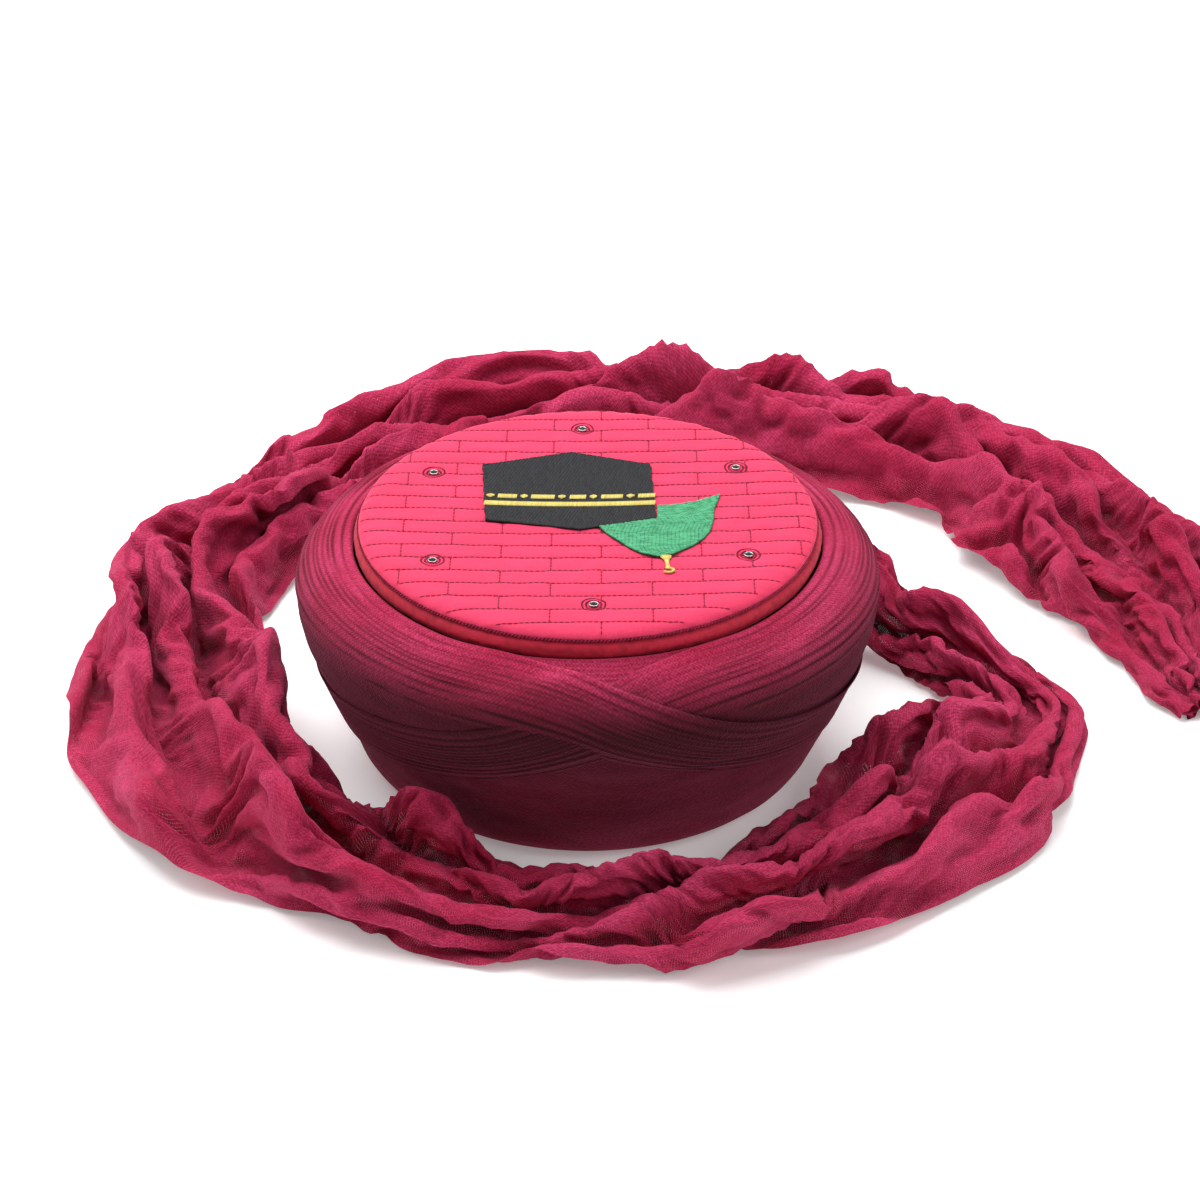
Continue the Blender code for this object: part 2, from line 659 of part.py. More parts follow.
def add_tail():
    """The free end: a crumpled bundle of cloth, carried along its course as one wall."""
    centre, across_axis, height_axis, width, height = tail_course()
    section = np.array(TAIL_SECTION)
    stations = np.arange(len(centre))[:, None]
    across, rise, takes = section.T
    ruffle = TAIL_RUFFLE * turn_wave(RUFFLE_ACROSS * across + RUFFLE_DRIFT * stations)
    crumple = TAIL_CRUMPLE * turn_wave(CRUMPLE_ACROSS * across + CRUMPLE_DRIFT * stations + CRUMPLE_START)
    wander = TAIL_WANDER * turn_wave(WANDER_ACROSS * across + WANDER_DRIFT * stations)
    clear = TAIL_WALL / 2
    full = np.minimum(height / TAIL_HEIGHT, 1.0)[:, None]
    x = across * (width[:, None] / 2 - clear) + wander * full
    y = clear + rise * (height[:, None] - TAIL_WALL) + (ruffle + crumple) * takes * full
    over, under = tail_wall(np.stack([x, y], axis=-1))
    loop = np.concatenate([over, under[:, ::-1]], axis=1)
    loop[..., 1] = np.maximum(loop[..., 1], 0.0)
    points = (centre[:, None, :] + across_axis[:, None, :] * loop[..., 0:1]
              + height_axis[:, None, :] * loop[..., 1:2])
    points[..., 2] = np.maximum(points[..., 2], 0.0)
    rows, columns = points.shape[:2]
    faces = grid_faces(rows, columns, False)
    for first in (0, (rows - 1) * columns):
        for index in range(columns // 2 - 1):
            faces.append((first + index, first + index + 1, first + columns - 2 - index,
                          first + columns - 1 - index))
    return add_object("tail", points.reshape(-1, 3), faces, "muslin", math.radians(80))


def build():
    """Clear the scene and make every piece of the hat."""
    for old in list(bpy.data.objects):
        bpy.data.objects.remove(old)
    add_crown_top()
    add_crown_side()
    add_crown_piping()
    for number, place in enumerate(eyelet_places(), 1):
        add_eyelet(number, place)
    add_embroidery()
    add_winding_base()
    add_wrap("wrap_right", True, False)
    add_wrap("wrap_left", False, True)
    add_tail()


build()
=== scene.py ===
import math

import bmesh
import bpy
import numpy as np
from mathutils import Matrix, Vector


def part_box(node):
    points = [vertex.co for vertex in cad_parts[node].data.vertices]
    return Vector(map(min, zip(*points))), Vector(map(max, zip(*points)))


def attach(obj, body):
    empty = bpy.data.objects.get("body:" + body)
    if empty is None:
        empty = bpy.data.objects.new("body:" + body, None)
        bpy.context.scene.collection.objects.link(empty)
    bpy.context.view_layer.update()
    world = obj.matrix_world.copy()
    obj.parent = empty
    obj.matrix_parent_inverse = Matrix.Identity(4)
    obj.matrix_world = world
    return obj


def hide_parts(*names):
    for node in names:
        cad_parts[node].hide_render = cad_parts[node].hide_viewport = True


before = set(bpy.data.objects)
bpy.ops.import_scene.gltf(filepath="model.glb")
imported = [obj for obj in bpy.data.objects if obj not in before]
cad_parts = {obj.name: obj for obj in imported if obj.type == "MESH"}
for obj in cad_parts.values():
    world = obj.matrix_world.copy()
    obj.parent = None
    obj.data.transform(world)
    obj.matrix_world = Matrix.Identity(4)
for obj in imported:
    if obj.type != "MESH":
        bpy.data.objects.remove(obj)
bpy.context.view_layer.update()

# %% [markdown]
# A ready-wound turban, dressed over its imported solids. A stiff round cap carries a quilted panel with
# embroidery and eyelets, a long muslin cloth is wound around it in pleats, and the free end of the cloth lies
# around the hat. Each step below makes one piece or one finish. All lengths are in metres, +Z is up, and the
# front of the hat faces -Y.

# %% [markdown]
# The camera comes first, because every piece is judged through it. A long lens from a little under a metre and a
# half away looks 31 degrees down on the crown. It could be placed by eye, but the crown's outline and its six
# eyelets fix it well: their ellipses give the angle, and how they shrink to the back gives the distance.

# %% Camera
LENS = 99.0
CAMERA_PLACE = (0.0054, -1.2737, 0.8313)
CAMERA_PITCH = 59.15

camera_data = bpy.data.cameras.new("studio_camera")
camera_data.lens = LENS
camera_data.sensor_width = 36.0
camera_data.clip_start = 0.05
camera_data.clip_end = 50.0
camera = bpy.data.objects.new("studio_camera", camera_data)
camera.location = CAMERA_PLACE
camera.rotation_euler = (math.radians(CAMERA_PITCH), 0.0, 0.0)
bpy.context.scene.collection.objects.link(camera)
bpy.context.scene.camera = camera
print("camera", CAMERA_PLACE, "lens", LENS)

# %% [markdown]
# Every cloth piece here is a sheet of points on a grid. One function turns such a grid into a mesh: it can join
# the last row to the first, for a ring around the hat, and the last column to the first, for a closed section.
# The cloth's own map goes along, in metres of cloth, so that the weave keeps its size on every piece, and marks
# are numbers on the points that a finish can read, such as how deep in a fold each point lies.

# %% Grid to mesh
def put_mesh(name, points, faces, finish, maps=None, marks=None):
    """Make an object from points and faces; maps are UVs for each face corner, marks a number for each point."""
    mesh = bpy.data.meshes.new(name)
    mesh.from_pydata(points.reshape(-1, 3).tolist(), [], [list(face) for face in faces])
    if maps is not None:
        mesh.uv_layers.new(name="cloth").data.foreach_set("uv", maps.reshape(-1).astype(np.float32))
    for label, values in (marks or {}).items():
        layer = mesh.attributes.new(label, "FLOAT", "POINT")
        layer.data.foreach_set("value", np.ascontiguousarray(values, dtype=np.float32).reshape(-1))
    mesh.shade_smooth()
    mesh.materials.append(finish)
    made = bpy.data.objects.new(name, mesh)
    bpy.context.scene.collection.objects.link(made)
    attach(made, "root")
    return made


def grid_mesh(name, points, finish, cloth=None, around=False, loop=False, marks=None):
    """A mesh on a grid of points: quads between neighbours, with rows and columns that may close on themselves.
    cloth is a grid of map places with one more row or column where the grid closes. A closed grid is turned
    outwards by the sign of its volume, the sum of corner times cross product over its faces."""
    rows, columns = points.shape[:2]
    row, column = np.meshgrid(np.arange(rows if around else rows - 1),
                              np.arange(columns if loop else columns - 1), indexing="ij")
    corners = np.stack([(row, column), (row + 1, column), (row + 1, column + 1), (row, column + 1)])
    faces = (corners[:, 0] % rows) * columns + corners[:, 1] % columns
    faces = np.moveaxis(faces, 0, -1).reshape(-1, 4)
    flat = points.reshape(-1, 3)
    a, b, c, d = (flat[faces[:, index]] for index in range(4))
    volume = np.einsum("ij,ij->i", a, np.cross(b, c)).sum() + np.einsum("ij,ij->i", a, np.cross(c, d)).sum()
    order = [0, 1, 2, 3] if volume > 0 else [3, 2, 1, 0]
    maps = None
    if cloth is not None:
        spots = np.moveaxis(corners, 0, -1).reshape(2, -1, 4)[:, :, order]
        maps = cloth[spots[0], spots[1]]
    return put_mesh(name, points, faces[:, order].tolist(), finish, maps, marks)


def weld(made, reach=1e-6):
    """Join points that lie on each other, so that a pole or a flat end is closed."""
    body = bmesh.new()
    body.from_mesh(made.data)
    bmesh.ops.remove_doubles(body, verts=body.verts, dist=reach)
    body.to_mesh(made.data)
    body.free()
    return made


# %% [markdown]
# Cloth is never regular, so many shapes below need smooth chance: a number that drifts from place to place. A
# lattice noise would do, but a mean of a few plane waves with drawn directions is shorter and has no grid in it.
# The draws are seeded, so that each run makes the same hat. A smooth step, a bell, places around an axis and a
# curve through a table serve for nearly all the other shapes.

# %% Drifting numbers, steps, bells and curves
def drift(seed, *places, waves=7):
    """Smooth noise near -1 to 1: a sum of sines of the places along drawn directions, with drawn phases."""
    draw = np.random.default_rng(seed)
    total = 0.0
    for _ in range(waves):
        direction = draw.normal(size=len(places))
        direction *= draw.uniform(0.6, 1.5) * 2 * math.pi / np.linalg.norm(direction)
        turned = sum(weight * place for weight, place in zip(direction, places))
        total = total + np.sin(turned + draw.uniform(0, 2 * math.pi))
    return total / math.sqrt(waves)


def step(value):
    """0 below 0, 1 above 1 and a smooth rise between them."""
    value = np.clip(value, 0.0, 1.0)
    return value * value * (3 - 2 * value)


def bell(value, width):
    """1 where the value is 0, fading to both sides: e to minus the square of value over width."""
    return np.exp(-(value / width) ** 2)


def turns(count):
    """Even turns around a full circle, in radians."""
    return np.arange(count) * 2 * math.pi / count


def polar(reach, turn, level):
    """Points from their reach, their turn in radians and their level: reach times cosine, times sine, and level."""
    return np.stack(np.broadcast_arrays(reach * np.cos(turn), reach * np.sin(turn), level), axis=-1)


def curve(keys, values, at):
    """A cubic curve through rows of values, with the slopes of their neighbours."""
    keys, values = np.asarray(keys, float), np.asarray(values, float)
    at = np.clip(at, keys[0], keys[-1])
    slopes = np.gradient(values, keys, axis=0)
    cell = np.clip(np.searchsorted(keys, at, side="right") - 1, 0, len(keys) - 2)
    span = keys[cell + 1] - keys[cell]
    t = (at - keys[cell]) / span
    if values.ndim > 1:
        t, span = t[..., None], span[..., None]
    start = (2 * t ** 3 - 3 * t ** 2 + 1) * values[cell] + (t ** 3 - 2 * t ** 2 + t) * span * slopes[cell]
    end = (3 * t ** 2 - 2 * t ** 3) * values[cell + 1] + (t ** 3 - t ** 2) * span * slopes[cell + 1]
    return start + end


# %% [markdown]
# A finish is a small network of shader nodes. Wiring nodes by hand takes many lines, so a socket is wrapped in a
# class whose plus, minus and times add the Math nodes, and 1 - mask reads as it would on paper. Every other node
# comes from one method that sets its choices first and then its sockets.

# %% Shader arithmetic
class Wire:
    """An output socket. Arithmetic on it adds Math nodes, with a number on either side."""

    def __init__(self, bench, socket):
        self.bench = bench
        self.socket = socket

    def math(self, operation, *values):
        return self.bench.node("ShaderNodeMath", {"operation": operation}, values)

    def __add__(self, other):
        return self.math("ADD", self, other)

    def __rsub__(self, other):
        return self.math("SUBTRACT", other, self)

    def __mul__(self, other):
        return self.math("MULTIPLY", self, other)

    def __truediv__(self, other):
        return self.math("DIVIDE", self, other)

    def __abs__(self):
        return self.math("ABSOLUTE", self)

    def cosine(self):
        return self.math("COSINE", self)

    def larger(self, other):
        return self.math("MAXIMUM", self, other)

    def between(self, low, high):
        """0 where the value is under low, 1 over high, and even between them."""
        return self.bench.node("ShaderNodeMapRange", {"clamp": True}, {0: self, 1: low, 2: high})

    __radd__ = __add__
    __rmul__ = __mul__


class Bench:
    """A finish in the making: a new material, its shader, and one method for any other node."""

    def __init__(self, name, roughness=0.8, metallic=0.0):
        self.material = bpy.data.materials.new(name)
        self.material.use_nodes = True
        self.tree = self.material.node_tree
        self.shader = self.tree.nodes["Principled BSDF"].inputs
        self.shader["Roughness"].default_value = roughness
        self.shader["Metallic"].default_value = metallic

    def node(self, kind, settings=None, values=(), output=0):
        made = self.tree.nodes.new(kind)
        for name, value in (settings or {}).items():
            setattr(made, name, value)
        for key, value in (values.items() if isinstance(values, dict) else enumerate(values)):
            self.feed(made.inputs[key], value)
        return Wire(self, made.outputs[output])

    def feed(self, socket, value):
        """Link a wire to a socket, or set the socket's own value; three numbers are a colour."""
        if isinstance(value, Wire):
            self.tree.links.new(value.socket, socket)
        else:
            socket.default_value = (*value, 1.0) if isinstance(value, tuple) else value

    def mix(self, factor, first, second, kind="MIX"):
        """A colour from two colours."""
        return self.node("ShaderNodeMix", {"data_type": "RGBA", "blend_type": kind},
                         {0: factor, 6: first, 7: second}, output=2)

    def place(self):
        """The point on the object, in metres."""
        return self.node("ShaderNodeTexCoord", output=3)

    def cloth(self):
        """The place on the cloth's own map, in metres."""
        return self.node("ShaderNodeUVMap", {"uv_map": "cloth"})

    def parts(self, vector):
        """The first two numbers of a vector."""
        made = self.tree.nodes.new("ShaderNodeSeparateXYZ")
        self.feed(made.inputs[0], vector)
        return Wire(self, made.outputs[0]), Wire(self, made.outputs[1])

    def noise(self, vector, size, detail=2.0):
        """Noise from 0 to 1 whose lumps are about size metres across."""
        return self.node("ShaderNodeTexNoise", values={"Vector": vector, "Scale": 1 / size, "Detail": detail})

    def mark(self, label):
        """A number kept on the points of the mesh."""
        return self.node("ShaderNodeAttribute", {"attribute_name": label}, output=2)

    def bump(self, height, depth, before=None):
        """A normal that makes height look depth metres deep, on top of an earlier one."""
        values = {"Strength": 1.0, "Distance": depth, "Height": height}
        if before is not None:
            values["Normal"] = before
        return self.node("ShaderNodeBump", values=values)

    def done(self, **sockets):
        """The material, with wires or plain values on the shader's own sockets."""
        for name, value in sockets.items():
            self.feed(self.shader[name.replace("_", " ")], value)
        return self.material


# %% [markdown]
# Muslin is an open plain weave of soft cotton yarn. Its threads could be modelled, but at under a millimetre
# apart they are a texture: two cosines over the cloth's map give threads that go over and under each other, and
# noise bends them and fuzzes them as spun yarn is. In the free end the gaps between them are real holes, so that
# a single layer is sheer and a bundle isn't. Dyed cotton has a rosy sheen where it turns away. Two marks paint
# shade on it: one in creases, folds and inner faces, and one on the lower turns, which face away from the lamp.

# %% Muslin
THREAD_PITCH = 0.00095
THREAD_DEPTH = 0.00020
FUZZ_SIZE, FUZZ_DEPTH = 0.0016, 0.0007
SLUB_SIZE = 0.012
CLOUD_SIZE = 0.055
DYE = (0.365, 0.014, 0.058)
DYE_PALE = (0.520, 0.045, 0.130)
# A deeper dye for fuzz and the weave's gaps, and also the colour of the painted shade in creases and inner faces.
DEEP_DYE_AND_SHADE = (0.110, 0.003, 0.014)
# The colour of the painted shade on the winding's lower turns.
PAINTED_SHADE_COLOUR = (0.026, 0.0022, 0.0045)


def muslin(name, open_weave, tone):
    """The dyed muslin. open_weave is how wide the holes between the threads are, from 0 to 1; tone lightens it."""
    bench = Bench(name, roughness=0.92)
    cloth = bench.cloth()
    u, v = bench.parts(cloth)
    slub = bench.noise(cloth, SLUB_SIZE, 3.0)
    turn = math.pi / THREAD_PITCH
    along = (u * turn + slub * 9.0).cosine()
    across = (v * turn + slub * 7.0).cosine()
    weave = along * across * 0.5 + 0.5
    fuzz = bench.noise(cloth, FUZZ_SIZE, 3.0)
    cloud = bench.noise(bench.place(), CLOUD_SIZE, 3.0)
    colour = bench.mix(cloud.between(0.35, 0.70), DYE, DYE_PALE)
    # Fuzz and the weave's gaps darken the dye; one mark paints shade into creases, folds and inner faces.
    for share in (fuzz.between(0.35, 0.65) * 0.50, (1 - weave).between(0.35, 0.75) * 0.35,
                  bench.mark("recess_shade") * 0.85):
        colour = bench.mix(share, colour, DEEP_DYE_AND_SHADE)
    # Painted shade on the lower turns, which face away from the lamp.
    colour = bench.mix(bench.mark("shade"), colour, PAINTED_SHADE_COLOUR)
    colour = bench.mix(1.0, colour, (tone, tone * 0.96, tone * 0.96), "MULTIPLY")
    sockets = {"Base_Color": colour, "Normal": bench.bump(fuzz, FUZZ_DEPTH, bench.bump(weave, THREAD_DEPTH))}
    if open_weave:
        gap = abs(along).larger(abs(across))
        wide = slub.between(0.30, 0.75) * open_weave
        sockets["Alpha"] = (gap / (wide + 0.02)).between(0.80, 1.15)
    return bench.done(Sheen_Weight=0.20, Sheen_Roughness=0.50, Sheen_Tint=(1.0, 0.22, 0.42),
                      Specular_IOR_Level=0.15, **sockets)


muslin_wound = muslin("muslin_wound", 0.0, 1.40)
muslin_loose = muslin("muslin_loose", 0.36, 1.33)
print("muslin with threads", THREAD_PITCH * 1000, "mm apart")

# %% [markdown]
# The crown is smooth cotton, quilted. Its colour is even, with a fine grain in place of a weave that is too close
# to see. The piping and the cap's wall are the same cotton in deeper reds. The sewing and embroidery threads are
# twisted and slightly shiny. Noise on the object's own coordinates serves for all of them, and a mark on the
# points says where shade is painted into seams, wrinkles and undersides, or which tone a stitch has.

# %% Cottons and threads
def cotton(name, base, deep, roughness, weave_depth):
    """Fine smooth cotton, darker where a mark paints shade into its seams' grooves, wrinkles and undersides."""
    bench = Bench(name, roughness=roughness)
    place = bench.place()
    grain = bench.noise(place, 0.0012, 3.0)
    cloud = bench.noise(place, 0.030, 3.0)
    colour = base
    # The mark paints shade into seam grooves, wrinkle hollows and undersides.
    for share in (cloud.between(0.30, 0.70) * 0.35, grain.between(0.35, 0.65) * 0.30, bench.mark("recess_shade")):
        colour = bench.mix(share, colour, deep)
    return bench.done(Base_Color=colour, Normal=bench.bump(grain, weave_depth), Sheen_Weight=0.12,
                      Sheen_Tint=(1.0, 0.55, 0.65), Specular_IOR_Level=0.25)


def thread(name, base, deep, roughness):
    """Sewing thread: each stitch has a tone of its own, and fine filaments run in it."""
    bench = Bench(name, roughness=roughness)
    filament = bench.noise(bench.place(), 0.0009, 2.0)
    shine = filament.between(0.3, 0.7) * 0.2 + (roughness - 0.1)
    return bench.done(Base_Color=bench.mix(bench.mark("tone"), base, deep), Roughness=shine,
                      Normal=bench.bump(filament, 0.00012), Specular_IOR_Level=0.25)


crown_cotton = cotton("crown_cotton", (0.76, 0.039, 0.120), (0.56, 0.018, 0.066), 0.75, 0.00012)
piping_cotton = cotton("piping_cotton", (0.58, 0.014, 0.045), (0.26, 0.004, 0.016), 0.62, 0.00006)
cap_cotton = cotton("cap_cotton", (0.42, 0.020, 0.040), (0.25, 0.008, 0.018), 0.85, 0.00010)
bore_dark = cotton("bore_dark", (0.012, 0.008, 0.009), (0.006, 0.004, 0.005), 0.90, 0.00004)
red_thread = thread("red_thread", (0.30, 0.008, 0.045), (0.17, 0.004, 0.024), 0.60)
black_thread = thread("embroidery_black", (0.024, 0.024, 0.028), (0.010, 0.010, 0.012), 0.65)
gold_thread = thread("embroidery_gold", (0.70, 0.60, 0.16), (0.50, 0.38, 0.08), 0.38)
green_thread = thread("embroidery_green", (0.100, 0.460, 0.230), (0.020, 0.200, 0.090), 0.42)



# %% Metal
def nickel():
    """Polished nickel, darker and less smooth where it is tarnished."""
    bench = Bench("nickel", roughness=0.25, metallic=1.0)
    tarnish = bench.noise(bench.place(), 0.0015, 3.0)
    colour = bench.mix(tarnish, (0.52, 0.51, 0.50), (0.30, 0.29, 0.29))
    return bench.done(Base_Color=colour, Roughness=tarnish * 0.3 + 0.12)


eyelet_nickel = nickel()
print("finishes", [made.name for made in bpy.data.materials])

# %% [markdown]
# Embroidery and seams are rows of short stitches. Each one is the same little form, a strand that rises from the
# cloth, runs flat and dips in again, so one template of a few dozen faces is copied to every place at once. The
# copies are a single array: place plus along, across and up, each times its size.

# %% Stitches
STRAND_SIDES = 6


def strand_template():
    """Rings of a strand from end to end, as shares of its length, width and height, and its faces."""
    along = np.array([-0.50, -0.40, 0.0, 0.40, 0.50])
    girth = np.array([0.35, 0.85, 1.0, 0.85, 0.35])
    rise = np.array([-0.55, -0.05, 0.12, -0.05, -0.55])
    angle = np.arange(STRAND_SIDES) * 2 * math.pi / STRAND_SIDES
    points = np.stack([
        np.repeat(along, STRAND_SIDES),
        np.outer(girth, np.cos(angle) / 2).reshape(-1),
        np.outer(girth, np.sin(angle) / 2).reshape(-1) + np.repeat(rise, STRAND_SIDES),
    ], axis=-1)
    ring, side = np.meshgrid(np.arange(len(along) - 1), np.arange(STRAND_SIDES), indexing="ij")
    after = (side + 1) % STRAND_SIDES
    faces = np.stack([ring * STRAND_SIDES + side, ring * STRAND_SIDES + after,
                      (ring + 1) * STRAND_SIDES + after, (ring + 1) * STRAND_SIDES + side], axis=-1)
    last = (len(along) - 1) * STRAND_SIDES
    ends = [[5, 4, 1, 0], [4, 3, 2, 1], [last, last + 1, last + 4, last + 5],
            [last + 1, last + 2, last + 3, last + 4]]
    return points, np.concatenate([faces.reshape(-1, 4)[:, ::-1], np.array(ends)])


STRAND, STRAND_FACES = strand_template()


def stitches(centres, directions, ups, length, width, height):
    """Points and faces of one strand at each centre, along its direction, thick along its up."""
    directions, ups = (np.broadcast_to(rows, centres.shape) for rows in (directions, ups))
    directions = directions / np.linalg.norm(directions, axis=1, keepdims=True)
    across = np.cross(ups, directions)
    across /= np.linalg.norm(across, axis=1, keepdims=True)
    up = np.cross(directions, across)
    length = np.broadcast_to(length, len(centres))[:, None, None]
    points = (centres[:, None, :] + directions[:, None, :] * STRAND[None, :, 0:1] * length
              + across[:, None, :] * STRAND[None, :, 1:2] * width + up[:, None, :] * STRAND[None, :, 2:3] * height)
    faces = STRAND_FACES[None] + (np.arange(len(centres)) * len(STRAND))[:, None, None]
    return points.reshape(-1, 3), faces.reshape(-1, 4)


def pad(outline, foot, head, inset=0.0004):
    """A low pad under the stitches: the outline at its foot, drawn in a little at its head."""
    middle = outline.mean(axis=0)
    inner = middle + (outline - middle) * (1 - inset / np.abs(outline - middle).max())
    count = len(outline)
    points = np.concatenate([np.column_stack([outline, np.full(count, foot)]),
                             np.column_stack([inner, np.full(count, head)])])
    sides = [[k, (k + 1) % count, count + (k + 1) % count, count + k] for k in range(count)]
    return points, sides + [list(range(count))[::-1], list(range(count, 2 * count))]


def sewn_piece(name, lots, finish, seed, pads=()):
    """One piece from lots of stitches, with a drawn tone for each stitch, over low pads in the deep tone that paint
    shade between them.
    """
    points, faces, tones, first = [], [], [], 0
    draw = np.random.default_rng(seed)
    for lot_points, lot_faces in lots:
        faces += (lot_faces + first).tolist()
        tones.append(np.repeat(draw.random(len(lot_points) // len(STRAND)) * 0.8, len(STRAND)))
        points.append(lot_points)
        first += len(lot_points)
    for pad_points, pad_faces in pads:
        faces += [[corner + first for corner in face] for face in pad_faces]
        # The pads take the full deep tone, darker than any stitch: they are thread under the stitches and painted
        # shade in the gaps between them.
        tones.append(np.ones(len(pad_points)))
        points.append(pad_points)
        first += len(pad_points)
    return put_mesh(name, np.concatenate(points), faces, finish, marks={"tone": np.concatenate(tones)})


# %% [markdown]
# The crown panel is a round pad of cotton over a thin wadding, quilted in courses like brickwork: long rows of
# running stitch, with short stitched lines across each course, half a brick further on in every second one. The
# wadding puffs up between the seams and the panel's edge is rolled down into its seam. The panel is a height
# over the disc: the edge's quarter ellipse, less a groove along each seam and a dimple at each eyelet.

# %% Courses of the quilting
CROWN_FOOT, CROWN_TOP = (corner[2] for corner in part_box("crown_top"))
CROWN_REACH = 0.1016
COURSE, COURSE_SHIFT = 0.0107, 0.0034
BRICK, BRICK_SHIFT = 0.0435, 0.0060


def row_sag(x):
    """How far a row of stitching hangs at x: it is a little curved and a little tilted."""
    return 0.42 * x * x + 0.014 * x


def course_of(x, y):
    """Which course a place lies in, with its share across the course: y over the pitch, less the rows' sag."""
    wobble = 0.00022 * drift(5, x / 0.05, y / 0.03)
    return (y - row_sag(x) + wobble - COURSE_SHIFT) / COURSE


def course_height(number, x):
    """The y of the seam under a course, at x: a guess without the wobble, put right twice."""
    y = number * COURSE + COURSE_SHIFT + row_sag(x)
    for _ in range(2):
        y = y - (course_of(x, y) - number) * COURSE
    return y


def seam_distance(x, y):
    """How far a place is from the nearest row and from the nearest line across its course."""
    course = course_of(x, y)
    row = np.abs(course - np.round(course)) * COURSE
    brick = (x - BRICK_SHIFT) / BRICK + 0.5 * (np.floor(course) % 2)
    return row, np.abs(brick - np.round(brick)) * BRICK


# %% The panel's surface
ROLL_WIDTH, ROLL_DROP = 0.0095, 0.0040
PUFF = 0.0002
SEAM_WIDTH, SEAM_DEPTH = 0.0017, 0.00055
DIMPLE_WIDTH, DIMPLE_DEPTH = 0.0036, 0.0007
EYELET_RING, EYELET_BEARING = 0.0790, 92
EYELET_PLACES = polar(EYELET_RING, np.radians(EYELET_BEARING + 60 * np.arange(6)), 0.0)[:, :2]


def crown_level(x, y):
    """The panel's top surface at a place: rolled edge, seams, dimples and puckers along the edge."""
    share = np.clip((np.hypot(x, y) - (CROWN_REACH - ROLL_WIDTH)) / ROLL_WIDTH, 0.0, 1.0)
    level = CROWN_TOP + PUFF - ROLL_DROP * (1 - np.sqrt(1 - share ** 2))
    row, line = seam_distance(x, y)
    groove = bell(row, SEAM_WIDTH) + 0.6 * bell(line, SEAM_WIDTH)
    level = level - SEAM_DEPTH * np.minimum(groove, 1.0) * (1 - step(share * 1.5 - 0.5))
    for spot in EYELET_PLACES:
        level = level - DIMPLE_DEPTH * bell(np.hypot(x - spot[0], y - spot[1]), DIMPLE_WIDTH)
    angle = np.arctan2(y, x)
    pucker = np.sin(64 * angle + 2.5 * np.sin(5 * angle)) + 0.6 * np.sin(91 * angle + 1.0)
    return level + 0.00012 * pucker * step(share * 1.3) + 0.00015 * drift(9, x / 0.02, y / 0.012)


# %% Crown panel
SEAM_SHADE_WIDTH = 0.0008
angle = turns(540)[:, None]
flat_radius = np.concatenate([[0.0], np.linspace(0.0012, CROWN_REACH - ROLL_WIDTH, 84)])
roll_radius = CROWN_REACH - ROLL_WIDTH + ROLL_WIDTH * np.sin(np.radians(np.linspace(8, 88, 12)))
top = polar(np.concatenate([flat_radius, roll_radius]), angle, 0.0)
x, y = top[..., 0], top[..., 1]
top[..., 2] = crown_level(x, y)
under = polar(np.array([CROWN_REACH - 0.0004, CROWN_REACH - 0.0016, 0.060, 0.0]), angle,
              CROWN_FOOT + np.array([0.0004, 0.0, 0.0, 0.0]))
# Painted shade along the grooves of the seams, and on the panel's underside.
row, line = seam_distance(x, y)
seam_and_under_shade = 0.75 * bell(row, SEAM_SHADE_WIDTH) + 0.40 * bell(line, SEAM_SHADE_WIDTH)
seam_and_under_shade = np.concatenate([seam_and_under_shade, np.full(under.shape[:2], 0.6)], axis=1)
crown = grid_mesh("crown_panel", np.concatenate([top, under], axis=1), crown_cotton,
                  around=True, marks={"recess_shade": seam_and_under_shade})
weld(crown)
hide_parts("crown_top")
print("crown panel", len(crown.data.polygons), "faces")

# %% [markdown]
# The quilting thread is dark red. Its running stitches lie in the grooves of the courses, one every 2.4 mm, and
# the seam around the panel's edge is a tight row of slanting stitches that reads as a twisted cord.

# %% Quilting stitches
STITCH_PITCH, STITCH_LENGTH = 0.0024, 0.0023
STITCH_WIDE, STITCH_HIGH = 0.00060, 0.00050
STITCHED_REACH = CROWN_REACH - 0.0012
BRICK_STITCHES = 4
UP = (0.0, 0.0, 1.0)


def resting(x, y):
    """Places on the panel's surface, a hair above it."""
    return np.stack([x, y, crown_level(x, y) + 0.00008], axis=-1)


def along_surface(x, y, dx, dy):
    """Stitches on the panel inside its edge, whose ends both touch it."""
    x, y, dx, dy = (part[np.hypot(x, y) < STITCHED_REACH] for part in (x, y, dx, dy))
    half = STITCH_LENGTH / 2
    start, end = resting(x - dx * half, y - dy * half), resting(x + dx * half, y + dy * half)
    return stitches((start + end) / 2, end - start, UP, STITCH_LENGTH, STITCH_WIDE, STITCH_HIGH)


lots = []
for number in range(-10, 11):
    x = np.arange(-CROWN_REACH, CROWN_REACH, STITCH_PITCH) + 0.0003 * number
    y = course_height(number, x)
    slope = np.gradient(y, x)
    steep = np.hypot(1.0, slope)
    lots.append(along_surface(x, y, 1 / steep, slope / steep))
    bricks = (np.arange(-3, 4) - 0.5 * (number % 2)) * BRICK + BRICK_SHIFT
    x = np.repeat(bricks, BRICK_STITCHES)
    spots = (np.arange(BRICK_STITCHES) + 0.5) * COURSE / BRICK_STITCHES
    y = course_height(number, x) + np.tile(spots, len(bricks))
    lots.append(along_surface(x, y, 0 * x, 0 * x + 1.0))
quilting = sewn_piece("quilting_stitches", lots, red_thread, 21)

